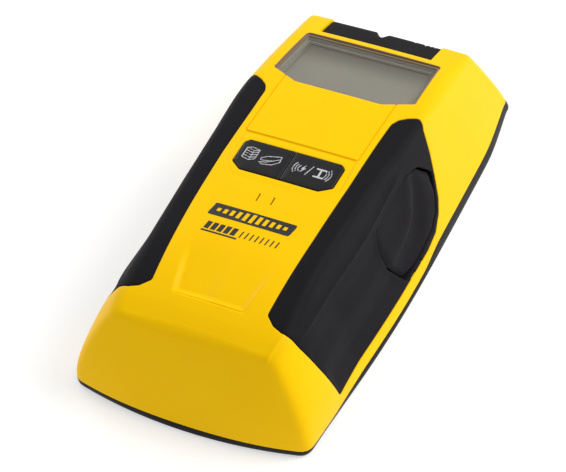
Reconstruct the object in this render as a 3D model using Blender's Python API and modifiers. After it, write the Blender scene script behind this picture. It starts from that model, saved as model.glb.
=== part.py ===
"""Stud finder: a handheld wall scanner, as an assembly of separate solids.

The scanner lies on its base plate. +X is its right side, +Y runs from the battery end to the display
end, +Z is up, and the origin is the middle of its footprint on the surface it lies on.
All sizes below are in millimetres; the mesh helpers turn them into metres.
"""
import math

import bmesh
import bpy
from mathutils import Matrix, Vector

MM = 0.001
GAP = 0.3                   # clearance left between neighbouring solids
ROUND_SEGMENTS = 20         # sides of a round piece

# Driving sizes of the body
NEAR_END = -86.5            # base outline at the battery end
FAR_END = 86.5              # base outline at the display end
NEAR_BOW, FAR_BOW = 4.4, 2.2   # how far the two ends of the base outline bow out
BASE_CORNER = (34.0, 3.4)   # half width where an end's bow stops, and the corner's length
CROWN_NEAR = -76.7          # where the top meets the near face
CROWN_FAR = 69.3            # where the top meets the far face
CROWN_CORNER = 1.7          # corner size of the top's outline
BASE_HALF_WIDTH = (
    (-79, 36.7), (-70, 37.3), (-57, 38.7), (-44, 39.9), (-24, 40.95), (-3, 41.3), (20, 41.1), (40, 40.8),
    (55, 40.5), (63, 39.8), (70.5, 38.8), (79, 37.6),
)
CROWN_HALF_WIDTH = (
    (-75, 25.0), (-69, 25.6), (-50, 25.3), (-28, 25.9), (-6, 26.8), (16, 28.2), (34, 28.0), (50, 27.5),
    (67, 27.3),
)
TOP_PROFILE = (
    (-77, 29.5), (-70, 32.9), (-60, 35.8), (-48, 37.7), (-32, 38.7), (-14, 38.9),
    (6, 38.4), (24, 37.4), (38, 35.8), (50, 33.7), (60, 31.4), (68, 29.2),
)
TOP_CROWN = 0.35            # how much higher the top is along its middle than at its edges
SIDE_BULGE = ((-86.5, 3.9), (-68, 3.7), (-56, 1.8), (-44, 0.5), (86.5, 0.5))   # swell of the long walls
END_BULGE = 1.0             # swell of the near and far faces
SWELL_POWER = 0.7
SWELL_SCALE = 3.16          # brings the fullest point of the swell to 1
EDGE_ROUND = 2.2            # radius of the long crown edges
WALL = 2.6                  # thickness of the shell

# Base plate and the line where it meets the shell
PLATE_FLOOR = 2.0
PLATE_FOOT = 0.6            # chamfer round the plate's foot
SEAM = ((-86.5, 2.3), (-70, 2.1), (-40, 2.05), (-2, 2.05), (12, 3.4), (50, 3.5), (86.5, 3.2))

# Soft grips, let into the flanks
GRIP_DEPTH = 1.2
GRIP_TOP_OUTLINE = (
    (18.0, -65.2), (18.6, -54.0), (19.5, -36.0), (20.3, -12.0), (20.5, 8.0), (20.8, 19.2), (22.0, 22.0),
    (24.2, 24.0), (27.6, 25.8), (60.0, 26.6), (60.0, -72.0), (24.6, -69.2), (20.8, -67.8),
)
GRIP_SIDE_OUTLINE = (
    (-69.4, 37.0), (-68.2, 28.5), (-66.0, 20.5), (-61.0, 5.7), (4.0, 5.4), (11.2, 6.5), (16.2, 9.8),
    (18.9, 13.6), (21.0, 20.0), (23.0, 27.4), (24.2, 34.2), (26.4, 38.0), (27.0, 60.0), (-69.4, 60.0),
)

# Side buttons, let into the grips
BUTTON_OUTLINE = (
    (-16.2, 27.8), (-18.6, 22.4), (-17.8, 16.2), (-11.6, 7.3), (-1.2, 6.9), (9.4, 8.5), (15.2, 12.2),
    (17.8, 17.0), (19.8, 22.0), (14.0, 27.8), (7.0, 30.4),
)
BUTTON_DEPTH = 4.1
BUTTON_FLANGE = 1.2
BUTTON_STEM = (-1.0, 19.4)  # y and z of the stem that works the switch
BUTTON_STEM_TIP = 28.3
BUTTON_STEM_ROOT = 32.5
STEM_RADIUS = 2.0

# Display
LENS_NEAR_Y = 27.4
LENS_NEAR_Z = 36.75         # height of the lens face at its near edge
LENS_SLOPE = math.radians(9.6)
LENS_THICKNESS = 1.5
LENS_OUTLINE = ((-14.2, 27.4), (14.2, 27.4), (23.3, 32.0), (22.5, 56.0), (-22.5, 56.0), (-23.3, 32.0))
WINDOW_INSET = 2.2
LENS_SEAT = 3.2             # depth of the thickened rim round the window

# Front keys
KEY_STRIP = (
    (-12.6, -17.4), (12.6, -17.4), (16.1, -14.6), (16.1, -5.8), (14.8, -4.3), (-14.8, -4.3), (-16.1, -5.8),
    (-16.1, -14.6),
)
KEY_FACE_Z = 39.3
KEY_FLANGE_Z = 34.6
KEY_FLANGE = 1.0
KEY_STEM_RADIUS = 2.2
KEY_CENTRES = {"stud_key": (-8.2, -10.8), "metal_key": (8.2, -10.8)}

# Shallow fields and sound slits of the front, and the depths of the fields
KEY_FIELD = ((-13.8, -20.6), (13.8, -20.6), (18.9, -15.2), (18.3, -0.8), (-18.3, -0.8), (-18.9, -15.2))
LOW_FIELD = ((-11.4, -66.9), (11.4, -66.9), (15.2, -44.0), (-15.2, -44.0))
KEY_FIELD_DEPTH = 0.35
LOW_FIELD_DEPTH = 0.6
SLIT_X = 2.3
SLIT_Y = (-28.3, -25.2)
SLIT_HALF_WIDTH = 0.4

# Marking cap across the far end
CAP_X = (-19.6, 18.0)
CAP_NEAR_Y = 59.0
CAP_RECESS = 0.6            # how far its face lies below the shell around it
CAP_DEPTH = 4.2
CAP_FOOT_Z = 4.8
NOTCH_X = -2.0
NOTCH_HALF_WIDTH = 2.7
NOTCH_DEPTH = 2.9

# Main board and what stands on it
BOARD_Z = (22.4, 24.0)
BOARD_HALF_WIDTH = 26.0
BOARD_Y = (-34.0, 54.0)
BOARD_SCREWS = ((-19.0, -31.0), (19.0, -31.0), (-22.5, 21.0), (22.5, 21.0))
SWITCH_SIZE = 6.0
SWITCH_HEIGHT = 3.5
PLUNGER_RADIUS = 1.7
PLUNGER_FOOT = 2.4          # how high in the case the plunger starts
PLUNGER_OUT = 1.8           # how far the plunger stands out of the case
BOARD_PILOT = (1.5, 6.6)    # radius and depth of the hole for a board screw
BOARD_BOSS_RADIUS = 2.6
BOARD_SCREW_HEAD = (2.2, 1.2)
BOARD_SCREW_SHANK = (1.2, 7.4)
CHIP_X, CHIP_Y, CHIP_HEIGHT = (-6.0, 6.0), (3.0, 15.0), 1.6
BUZZER_PLACE, BUZZER_RADIUS, BUZZER_HEIGHT = (0.0, -26.8), 7.0, 8.0
LINK_X, LINK_Y = (-8.0, 8.0), (-14.6, -12.0)

# The display's glass, drawn flat under the lens plane, and the frame that carries it
GLASS_X, GLASS_Y, GLASS_THICKNESS = (-22.6, 22.6), (28.6, 56.0), 1.8
FRAME_X, FRAME_Y = (-24.0, 24.0), (25.6, 57.0)
FRAME_HOLLOW_X, FRAME_HOLLOW_Y = (-20.3, 20.3), (35.0, 53.0)
CONNECTOR_X, CONNECTOR_Y = (-20.0, 20.0), (29.3, 31.7)

# Sensor board
SENSOR_Z = (2.3, 3.9)
SENSOR_Y = (-17.0, 77.0)
SENSOR_HALF_WIDTH = 33.0
SENSOR_SCREWS = ((-26.0, -12.0), (26.0, -12.0))
PLATE_CENTRES = (-25.5, -8.5, 8.5, 25.5)
PLATE_SIZE = (15.0, 24.0)
PLATE_MID_Y = 46.0
COIL_Y = 14.0
COIL_RADII = (9.0, 13.5)
COIL_HEIGHT = 4.0
PLATE_THICKNESS = 0.5
SENSOR_POST = (2.4, 9.0)    # radius and height of the posts that carry the board's screws
SENSOR_PILOT = (1.5, 4.0)   # radius of a post's hole and the height of its floor
SENSOR_SCREW = (3.4, 1.4)
SENSOR_SHANK = (1.2, 4.6)   # radius, and the height of its tip

# Battery bay, a nine volt block battery and its door
BATTERY_HALF_WIDTH = 13.25
BATTERY_Y = (-74.0, -27.6)
BATTERY_Z = (3.6, 21.1)
TERMINAL_X = 6.35           # half the spacing of the two terminals
TERMINAL_LENGTH = 2.3
STUD_RADIUS, SOCKET_RADIUS = 2.9, 3.9
SNAP_HALF_WIDTH, SNAP_DEPTH, SNAP_Z = 12.4, (2.6, 5.4), (5.6, 20.4)
LEAD_X, LEAD_RADIUS, LEAD_START_Z, LEAD_REACH = 5.0, 0.65, 16.5, 5.0
FOAM_X, FOAM_Y, FOAM_TOP = (-10.0, 10.0), (-66.0, -34.0), 3.3
BAY_WALL = 1.2
BAY_WALL_TOP = 12.0
DOOR_HALF_WIDTH = 13.6
DOOR_Y = (-74.9, -21.3)
DOOR_RECESS = 0.2           # how far the door sits back from the plate's face
DOOR_RELIEF = 0.7           # room for the door's hinge edge to swing
DOOR_PIVOT = (-22.5, 1.0)   # y and z of the line the door swings about
LATCH_HALF_WIDTH = 5.0
LATCH_LENGTH = 3.0
HINGE_TABS = ((-11.0, -6.0), (6.0, 11.0))
PULL_SLOT_HALF_WIDTH = 4.0

# Screws that close the housing
HOUSING_SCREWS = ((-26.5, -70.5), (26.5, -70.5), (-27.0, 66.0), (27.0, 66.0))
BOSS_RADIUS = 3.4
BOSS_TOP = 24.0
SCREW_HEAD = (2.6, 1.6)     # radius and height
SCREW_SHANK = (1.3, 9.0)

PART_NAME = "stud_finder"


# ---------------------------------------------------------------- scene and mesh helpers

def clear_scene():
    for obj in list(bpy.data.objects):
        bpy.data.objects.remove(obj, do_unlink=True)


def new_collection(name):
    collection = bpy.data.collections.new(name)
    bpy.context.scene.collection.children.link(collection)
    return collection


def material(name, colour, roughness, metallic=0.0):
    made = bpy.data.materials.new(name)
    made.use_nodes = True
    shader = made.node_tree.nodes["Principled BSDF"]
    shader.inputs["Base Color"].default_value = (*colour, 1.0)
    shader.inputs["Roughness"].default_value = roughness
    shader.inputs["Metallic"].default_value = metallic
    made.diffuse_color = (*colour, 1.0)
    return made


def add_object(name, bm, collection, surface=None):
    """Make an object of a bmesh that was built in millimetres."""
    bmesh.ops.scale(bm, vec=(MM, MM, MM), verts=bm.verts)
    bmesh.ops.recalc_face_normals(bm, faces=bm.faces)
    mesh = bpy.data.meshes.new(name)
    bm.to_mesh(mesh)
    bm.free()
    mesh.shade_smooth()
    mesh.set_sharp_from_angle(angle=math.radians(35))
    obj = bpy.data.objects.new(name, mesh)
    collection.objects.link(obj)
    if surface:
        mesh.materials.append(surface)
    if collection is CUTTERS:
        obj.hide_render = True
        obj.display_type = "WIRE"
    return obj


def box(name, low, high, collection, surface=None, turn=None):
    """A box between two corners; turn is an optional matrix applied to it."""
    bm = bmesh.new()
    size = [h - l for l, h in zip(low, high)]
    middle = [(l + h) / 2 for l, h in zip(low, high)]
    bmesh.ops.create_cube(bm, size=1.0, matrix=Matrix.Translation(middle) @ Matrix.Diagonal((*size, 1.0)))
    if turn is not None:
        bmesh.ops.transform(bm, matrix=turn, verts=bm.verts)
    return add_object(name, bm, collection, surface)


def cylinder(name, radius, start, end, collection, surface=None, segments=ROUND_SEGMENTS):
    """A cylinder from one point to another."""
    start, end = Vector(start), Vector(end)
    run = end - start
    place = Matrix.Translation((start + end) / 2) @ run.to_track_quat("Z", "Y").to_matrix().to_4x4()
    bm = bmesh.new()
    bmesh.ops.create_cone(bm, cap_ends=True, segments=segments, radius1=radius, radius2=radius,
                          depth=run.length, matrix=place)
    return add_object(name, bm, collection, surface)


def mesh_from_curve(name, curve, collection):
    """Turn a curve into a closed mesh in millimetres and drop the curve."""
    holder = bpy.data.objects.new(name + "_curve", curve)
    collection.objects.link(holder)
    bpy.context.view_layer.update()
    depsgraph = bpy.context.evaluated_depsgraph_get()
    mesh = bpy.data.meshes.new_from_object(holder.evaluated_get(depsgraph))
    bm = bmesh.new()
    bm.from_mesh(mesh)
    bmesh.ops.remove_doubles(bm, verts=bm.verts, dist=MM * 0.01)
    bmesh.ops.scale(bm, vec=(1 / MM, 1 / MM, 1 / MM), verts=bm.verts)
    bpy.data.objects.remove(holder, do_unlink=True)
    bpy.data.curves.remove(curve)
    bpy.data.meshes.remove(mesh)
    return bm


def plate(name, outline, low, high, collection, surface=None, axis="Z", turn=None):
    """A flat outline given thickness along Z (outline in x, y) or along X (outline in y, z)."""
    curve = bpy.data.curves.new(name, "CURVE")
    curve.dimensions = "2D"
    curve.fill_mode = "BOTH"
    curve.extrude = (high - low) / 2 * MM
    spline = curve.splines.new("POLY")
    spline.points.add(len(outline) - 1)
    for point, (u, v) in zip(spline.points, outline):
        point.co = (u * MM, v * MM, 0.0, 1.0)
    spline.use_cyclic_u = True
    bm = mesh_from_curve(name, curve, collection)
    bmesh.ops.translate(bm, vec=(0, 0, (low + high) / 2), verts=bm.verts)
    if axis == "X":
        bmesh.ops.transform(bm, matrix=Matrix(((0, 0, 1, 0), (1, 0, 0, 0), (0, 1, 0, 0), (0, 0, 0, 1))),
                            verts=bm.verts)
    if turn is not None:
        bmesh.ops.transform(bm, matrix=turn, verts=bm.verts)
    return add_object(name, bm, collection, surface)


def wire(name, route, radius, collection, surface):
    """A round lead along a smooth route."""
    curve = bpy.data.curves.new(name, "CURVE")
    curve.dimensions = "3D"
    curve.bevel_depth = radius * MM
    curve.bevel_resolution = 2
    curve.use_fill_caps = True
    spline = curve.splines.new("POLY")
    spline.points.add(len(route) - 1)
    for point, place in zip(spline.points, route):
        point.co = (*[value * MM for value in place], 1.0)
    return add_object(name, mesh_from_curve(name, curve, collection), collection, surface)


def boolean(target, tool, operation="DIFFERENCE"):
    modifier = target.modifiers.new(operation.lower(), "BOOLEAN")
    modifier.operation = operation
    modifier.object = tool
    modifier.solver = "EXACT"
    return target


def offset_outline(outline, distance):
    """Grow a flat outline by a distance, keeping its corners sharp."""
    count = len(outline)
    area = sum(outline[i - 1][0] * outline[i][1] - outline[i][0] * outline[i - 1][1] for i in range(count))
    side = 1.0 if area > 0 else -1.0
    grown = []
    for i in range(count):
        before, here, after = Vector(outline[i - 1]), Vector(outline[i]), Vector(outline[(i + 1) % count])
        into, out_of = (here - before).normalized(), (after - here).normalized()
        normal_in = Vector((into.y, -into.x)) * side
        normal_out = Vector((out_of.y, -out_of.x)) * side
        shift = (normal_in + normal_out) / (1 + normal_in.dot(normal_out))
        grown.append(tuple(here + shift * distance))
    return grown


def move_origin(obj, place):
    """Put an object's origin on its joint without moving its shape."""
    point = Vector(place) * MM
    obj.data.transform(Matrix.Translation(-point))
    obj.location = point


# ---------------------------------------------------------------- the body's form

def smooth(points, at):
    """Value of a smooth curve through a few (place, value) points."""
    last = len(points) - 1
    at = min(max(at, points[0][0]), points[last][0])
    i = max(k for k in range(last) if points[k][0] <= at)
    (x0, y0), (x1, y1) = points[i], points[i + 1]
    before, after = points[max(i - 1, 0)], points[min(i + 2, last)]
    slope0 = (y1 - before[1]) / (x1 - before[0])
    slope1 = (after[1] - y0) / (after[0] - x0)
    t = (at - x0) / (x1 - x0)
    run = x1 - x0
    return ((2 * t**3 - 3 * t**2 + 1) * y0 + (t**3 - 2 * t**2 + t) * run * slope0
            + (3 * t**2 - 2 * t**3) * y1 + (t**3 - t**2) * run * slope1)


END_STEPS = 4
CORNER_STEPS = 3
SIDE_STEPS = 14


def base_half_ring(inset):
    """Right half of the base outline at the floor, from the near middle round to the far middle."""
    reach, length = BASE_CORNER[0], max(BASE_CORNER[1], inset + 0.2)
    points = []
    near, far = NEAR_END + inset, FAR_END - inset
    near_side, far_side = NEAR_END + NEAR_BOW + length, FAR_END - FAR_BOW - length
    for step in range(END_STEPS):
        share = step / END_STEPS
        points.append(((reach - inset) * share, near + NEAR_BOW * share**2))
    near_width = smooth(BASE_HALF_WIDTH, near_side) - inset
    far_width = smooth(BASE_HALF_WIDTH, far_side) - inset
    for step in range(CORNER_STEPS):
        turn = math.pi / 2 * step / CORNER_STEPS
        points.append((reach - inset + (near_width - reach + inset) * math.sin(turn),
                       near + NEAR_BOW + (near_side - near - NEAR_BOW) * (1 - math.cos(turn))))
    for step in range(SIDE_STEPS + 1):
        y = near_side + (far_side - near_side) * step / SIDE_STEPS
        points.append((smooth(BASE_HALF_WIDTH, y) - inset, y))
    for step in range(1, CORNER_STEPS + 1):
        turn = math.pi / 2 * step / CORNER_STEPS
        points.append((reach - inset + (far_width - reach + inset) * math.cos(turn),
                       far_side + (far - FAR_BOW - far_side) * math.sin(turn)))
    for step in range(1, END_STEPS + 1):
        share = 1 - step / END_STEPS
        points.append(((reach - inset) * share, far - FAR_BOW * share**2))
    return points


def crown_half_ring(inset):
    """Right half of the top's outline, in step with base_half_ring."""
    near, far = CROWN_NEAR + inset, CROWN_FAR - inset
    near_side, far_side = near + CROWN_CORNER, far - CROWN_CORNER
    near_width = smooth(CROWN_HALF_WIDTH, near_side) - inset
    far_width = smooth(CROWN_HALF_WIDTH, far_side) - inset
    points = []
    for step in range(END_STEPS):
        points.append(((near_width - CROWN_CORNER) * step / END_STEPS, near))
    for step in range(CORNER_STEPS):
        turn = math.pi / 2 * step / CORNER_STEPS
        points.append((near_width - CROWN_CORNER * (1 - math.sin(turn)),
                       near + CROWN_CORNER * (1 - math.cos(turn))))
    for step in range(SIDE_STEPS + 1):
        y = near_side + (far_side - near_side) * step / SIDE_STEPS
        points.append((smooth(CROWN_HALF_WIDTH, y) - inset, y))
    for step in range(1, CORNER_STEPS + 1):
        turn = math.pi / 2 * step / CORNER_STEPS
        points.append((far_width - CROWN_CORNER * (1 - math.cos(turn)),
                       far - CROWN_CORNER * (1 - math.sin(turn))))
    for step in range(1, END_STEPS + 1):
        points.append(((far_width - CROWN_CORNER) * (1 - step / END_STEPS), far))
    return points


def top_height(x, y, drop=0.0):
    """Height of the top surface."""
    width = smooth(CROWN_HALF_WIDTH, y)
    return smooth(TOP_PROFILE, y) + TOP_CROWN * (1 - min(abs(x) / width, 1.0)**2) - drop


def swell(climb):
    """Share of a wall's bulge at a climb from 0 at the base to 1 at the crown; it is fullest low down."""
    climb = max(climb, 0.0)
    return SWELL_SCALE * climb**SWELL_POWER * (1 - climb)


def wall_rings(inset, floor_height):
    """Rings of the body's wall from its foot to the crown, each a right half from near to far.

    inset is the distance inside the outer surface. floor_height gives the foot's height at a y.
    """
    base = base_half_ring(inset * 1.09)
    crown = crown_half_ring(inset * 0.66)
    rounding = max(EDGE_ROUND - inset, 0.6)
    rings = []
    for level in ("foot", 0.25, 0.5, 0.75, "shoulder", "edge", "top"):
        ring = []
        for (bx, by), (cx, cy) in zip(base, crown):
            cz = top_height(cx, cy, inset)
            wall = Vector((cx - bx, cy - by, cz))
            climb = 1 - rounding / wall.length
            if level == "foot":
                climb = floor_height(by) / cz
            if isinstance(level, float):
                climb = level
            out = Vector((bx - cx, by - cy, 0)).normalized()
            bulge = smooth(SIDE_BULGE, by) * out.x**2 + END_BULGE * out.y**2
            point = Vector((bx, by, 0)) + wall * climb + out * bulge * swell(climb)
            if level in ("edge", "top"):
                x = cx - rounding * (0.29 if level == "edge" else 1.0) * min(cx / 5, 1)
                pull = rounding * (0.29 if level == "edge" else 1.0)
                y = min(max(cy, CROWN_NEAR + inset * 0.66 + pull), CROWN_FAR - inset * 0.66 - pull)
                drop = inset + (0.29 * rounding if level == "edge" else 0.0)
                point = Vector((x, y, top_height(x, y, drop)))
            ring.append(tuple(point))
        rings.append(ring)
    return rings


def add_ring(bm, half):
    """Vertices of a whole ring from its right half; the two end points lie on the middle plane."""
    right = [bm.verts.new(point) for point in half]
    left = [bm.verts.new((-x, y, z)) for x, y, z in reversed(half[1:-1])]
    return right + left


def bridge(bm, low, high):
    count = len(low)
    for i in range(count):
        after = (i + 1) % count
        bm.faces.new((low[i], low[after], high[after], high[i]))


def zip_cap(bm, ring, half, height):
    """Close a ring with a crowned cap that meets along the middle plane."""
    near, far = half[0][1], half[-1][1]
    pull = 7.0
    spine = [(0.0, min(max(y, near + pull), far - pull)) for _, y, _ in half]
    between = [((x + sx) / 2, (y + sy) / 2) for (x, y, _), (sx, sy) in zip(half, spine)]
    between_ring = add_ring(bm, [(x, y, height(x, y)) for x, y in between])
    spine_ring = add_ring(bm, [(x, y, height(x, y)) for x, y in spine])
    bridge(bm, ring, between_ring)
    bridge(bm, between_ring, spine_ring)


def body_form(name, inset, floor_height, collection, surface=None):
    """The body's solid form, inset from the outer surface, standing on floor_height."""
    bm = bmesh.new()
    halves = wall_rings(inset, floor_height)
    rings = [add_ring(bm, half) for half in halves]
    for low, high in zip(rings, rings[1:]):
        bridge(bm, low, high)
    zip_cap(bm, rings[-1], halves[-1], lambda x, y: top_height(x, y, inset))
    zip_cap(bm, rings[0], halves[0], lambda x, y: floor_height(y))
    bmesh.ops.remove_doubles(bm, verts=bm.verts, dist=0.001)
    return add_object(name, bm, collection, surface)


def seam_height(y):
    return smooth(SEAM, y)


def outer_form(name, collection, surface=None):
    return body_form(name, 0.0, lambda y: seam_height(y) + GAP, collection, surface)


def inner_form(name, inset):
    """A cutter with the body's form, inset, reaching below the floor."""
    return body_form(name, inset, lambda y: -3.0, CUTTERS)


# ---------------------------------------------------------------- covers and skins

def lens_turn():
    """Matrix that lays a plate drawn flat at z = 0 onto the lens plane, measured down from its face."""
    pivot = Vector((0, LENS_NEAR_Y, LENS_NEAR_Z))
    tilt = Matrix.Rotation(-LENS_SLOPE, 4, "X")
    return Matrix.Translation(pivot) @ tilt @ Matrix.Translation((0, -LENS_NEAR_Y, 0))


def make_housing(yellow):
    housing = outer_form("front_housing", PARTS, yellow)
    boolean(housing, inner_form("shell_hollow", WALL))
    seat = plate("lens_seat", offset_outline(LENS_OUTLINE, 2.0), -LENS_SEAT, 6.0, CUTTERS, turn=lens_turn())
    boolean(seat, inner_form("seat_limit", 0.8), "INTERSECT")
    boolean(housing, seat, "UNION")
    for index, (x, y) in enumerate(HOUSING_SCREWS):
        boss = cylinder(f"boss_{index}", BOSS_RADIUS, (x, y, PLATE_FLOOR + GAP), (x, y, BOSS_TOP), CUTTERS)
        boolean(boss, outer_form(f"boss_limit_{index}", CUTTERS), "INTERSECT")
        boolean(housing, boss, "UNION")
    for index, (x, y) in enumerate(BOARD_SCREWS):
        top = top_height(x, y) - 1.0
        seat = BOARD_Z[1]
        boss = cylinder(f"board_boss_{index}", BOARD_BOSS_RADIUS, (x, y, seat + GAP), (x, y, top), CUTTERS)
        boolean(housing, boss, "UNION")
        radius, depth = BOARD_PILOT
        boolean(housing, cylinder(f"board_pilot_{index}", radius, (x, y, seat), (x, y, seat + depth), CUTTERS,
                                  segments=12))
    for index, (x, y) in enumerate(HOUSING_SCREWS):
        tip = SCREW_HEAD[1] + SCREW_SHANK[1] + 1.0
        boolean(housing, cylinder(f"pilot_{index}", SCREW_SHANK[0] + GAP, (x, y, 0), (x, y, tip), CUTTERS,
                                  segments=12))
    cut_window(housing)
    cut_front(housing)
    for side in (1, -1):
        boolean(housing, grip_bed(side))
        boolean(housing, button_prism(f"button_opening_{side}", side, GAP))
    boolean(housing, cap_bed())
    return housing


def cut_window(housing):
    turn = lens_turn()
    pocket = offset_outline(LENS_OUTLINE, GAP)
    boolean(housing, plate("lens_pocket", pocket, -LENS_THICKNESS - GAP, 8.0, CUTTERS, turn=turn))
    window = offset_outline(LENS_OUTLINE, -WINDOW_INSET)
    boolean(housing, plate("window", window, -8.0, 8.0, CUTTERS, turn=turn))


def cut_front(housing):
    """Key opening, sound slits and the shallow fields of the front."""
    boolean(housing, plate("key_opening", offset_outline(KEY_STRIP, GAP), 30.0, 45.0, CUTTERS))
    for side in (-1, 1):
        left, right = side * SLIT_X - SLIT_HALF_WIDTH, side * SLIT_X + SLIT_HALF_WIDTH
        slit = ((left, SLIT_Y[0]), (right, SLIT_Y[0]), (right, SLIT_Y[1]), (left, SLIT_Y[1]))
        boolean(housing, plate(f"slit_{side}", slit, 30.0, 45.0, CUTTERS))
    fields = (("key_field", KEY_FIELD, KEY_FIELD_DEPTH), ("low_field", LOW_FIELD, LOW_FIELD_DEPTH))
    for name, outline, depth in fields:
        field = plate(name, outline, 28.0, 45.0, CUTTERS)
        boolean(field, inner_form(name + "_floor", depth))
        boolean(housing, field)


def grip_prisms(name, side, grow):
    """The two prisms whose overlap bounds a grip: one seen from the side, one seen from above."""
    seen_from_side = offset_outline(GRIP_SIDE_OUTLINE, grow)
    seen_from_above = [(side * x, y) for x, y in offset_outline(GRIP_TOP_OUTLINE, grow)]
    reach = (10.0, 60.0) if side > 0 else (-60.0, -10.0)
    across = plate(name + "_side", seen_from_side, *reach, CUTTERS, axis="X")
    above = plate(name + "_top", seen_from_above, 0.0, 50.0, CUTTERS)
    return across, above


def button_prism(name, side, grow):
    reach = (26.0, 58.0) if side > 0 else (-58.0, -26.0)
    return plate(name, offset_outline(BUTTON_OUTLINE, grow), *reach, CUTTERS, axis="X")


def grip_bed(side):
    """What the housing loses to a grip."""
    across, above = grip_prisms(f"grip_bed_{side}", side, GAP)
    boolean(above, across, "INTERSECT")
    return boolean(above, inner_form(f"grip_bed_floor_{side}", GRIP_DEPTH + GAP))


def make_grip(name, side, rubber):
    grip = outer_form(name, PARTS, rubber)
    across, above = grip_prisms(name, side, 0.0)
    boolean(grip, across, "INTERSECT")
    boolean(grip, above, "INTERSECT")
    boolean(grip, inner_form(name + "_back", GRIP_DEPTH))
    boolean(grip, button_prism(name + "_opening", side, GAP))
    return grip


def make_side_button(name, side, rubber):
    """A pad with a flange behind the shell and a stem to its switch."""
    button = outer_form(name, PARTS, rubber)
    boolean(button, button_prism(name + "_outline", side, 0.0), "INTERSECT")
    flange = button_prism(name + "_flange", side, BUTTON_FLANGE)
    boolean(flange, inner_form(name + "_flange_face", WALL + GAP), "INTERSECT")
    boolean(button, flange, "UNION")
    boolean(button, inner_form(name + "_back", BUTTON_DEPTH))
    y, z = BUTTON_STEM
    tip, root = (side * BUTTON_STEM_TIP, y, z), (side * BUTTON_STEM_ROOT, y, z)
    boolean(button, cylinder(name + "_stem", STEM_RADIUS, tip, root, CUTTERS), "UNION")
    move_origin(button, tip)
    return button


def make_lens(clear):
    return plate("lcd_lens", LENS_OUTLINE, -LENS_THICKNESS, 0.0, PARTS, clear, turn=lens_turn())


def cap_prism(name, grow):
    low = (CAP_X[0] - grow, CAP_NEAR_Y - grow, CAP_FOOT_Z - 3 * grow)
    return box(name, low, (CAP_X[1] + grow, 100.0, 60.0), CUTTERS)


def cap_bed():
    bed = cap_prism("cap_bed", GAP)
    return boolean(bed, inner_form("cap_bed_floor", CAP_DEPTH + GAP))


def make_marking_cap(plastic):
    """Cap across the far end; a V channel runs from its top edge down to the base plate."""
    cap = body_form("marking_cap", CAP_RECESS, seam_height, PARTS, plastic)
    boolean(cap, cap_prism("cap_outline", 0.0), "INTERSECT")
    boolean(cap, inner_form("cap_back", CAP_DEPTH))
    boolean(cap, notch_wedge("cap_notch"))
    return cap


def notch_wedge(name):
    """A V channel following the far end's surface: a wedge less the form that lies NOTCH_DEPTH deeper."""
    floor = NOTCH_HALF_WIDTH * 0.3
    outline = ((NOTCH_X - NOTCH_HALF_WIDTH, 0.0), (NOTCH_X - floor, -NOTCH_DEPTH),
               (NOTCH_X + floor, -NOTCH_DEPTH), (NOTCH_X + NOTCH_HALF_WIDTH, 0.0))
    # The far face runs from the crown's far edge down to the base; the wedge is drawn flat and laid on it
    foot, crest = Vector((0, FAR_END, 0)), Vector((0, CROWN_FAR, top_height(0, CROWN_FAR)))
    slope = (crest - foot).normalized()
    out = Vector((0, slope.z, -slope.y))
    turn = Matrix((Vector((1, 0, 0)), out, slope)).transposed().to_4x4()
    wide = ((NOTCH_X + 2 * NOTCH_HALF_WIDTH, NOTCH_DEPTH), (NOTCH_X - 2 * NOTCH_HALF_WIDTH, NOTCH_DEPTH))
    return plate(name, outline + wide, -3.0, (crest - foot).length + 8.0, CUTTERS,
                 turn=Matrix.Translation(foot) @ turn)


# ---------------------------------------------------------------- base plate, battery and door

def make_base_plate(plastic):
    bm = bmesh.new()
    foot = [(x, y, 0.0) for x, y in base_half_ring(PLATE_FOOT)]
    rings = [foot]
    walls = wall_rings(0.0, lambda y: PLATE_FOOT)
    rings.append(walls[0])
    rings.append(wall_rings(0.0, seam_height)[0])
    rings.append(wall_rings(WALL, seam_height)[0])
    rings.append([(x, y, PLATE_FLOOR) for x, y, _ in wall_rings(WALL, lambda y: PLATE_FLOOR)[0]])
    made = [add_ring(bm, ring) for ring in rings]
    for low, high in zip(made, made[1:]):
        bridge(bm, low, high)
    bm.faces.new(made[0])
    bm.faces.new(made[-1])
    bmesh.ops.remove_doubles(bm, verts=bm.verts, dist=0.001)
    base = add_object("base_plate", bm, PARTS, plastic)
    add_bay(base)
    boolean(base, notch_wedge("plate_notch"))
    for index, (x, y) in enumerate(SENSOR_SCREWS):
        post = cylinder(f"post_{index}", SENSOR_POST[0], (x, y, 1.0), (x, y, SENSOR_POST[1]), CUTTERS)
        radius, floor = SENSOR_PILOT
        pilot = cylinder(f"post_pilot_{index}", radius, (x, y, floor), (x, y, SENSOR_POST[1] + 1), CUTTERS,
                         segments=12)
        boolean(base, post, "UNION")
        boolean(base, pilot)
    for index, (x, y) in enumerate(HOUSING_SCREWS):
        head_radius, head_height = SCREW_HEAD
        sink = cylinder(f"head_sink_{index}", head_radius + GAP, (x, y, -1.0), (x, y, head_height), CUTTERS)
        boolean(base, sink)
        hole = cylinder(f"shank_hole_{index}", SCREW_SHANK[0] + GAP, (x, y, -1.0), (x, y, 6.0), CUTTERS,
                        segments=12)
        boolean(base, hole)
    return base


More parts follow.
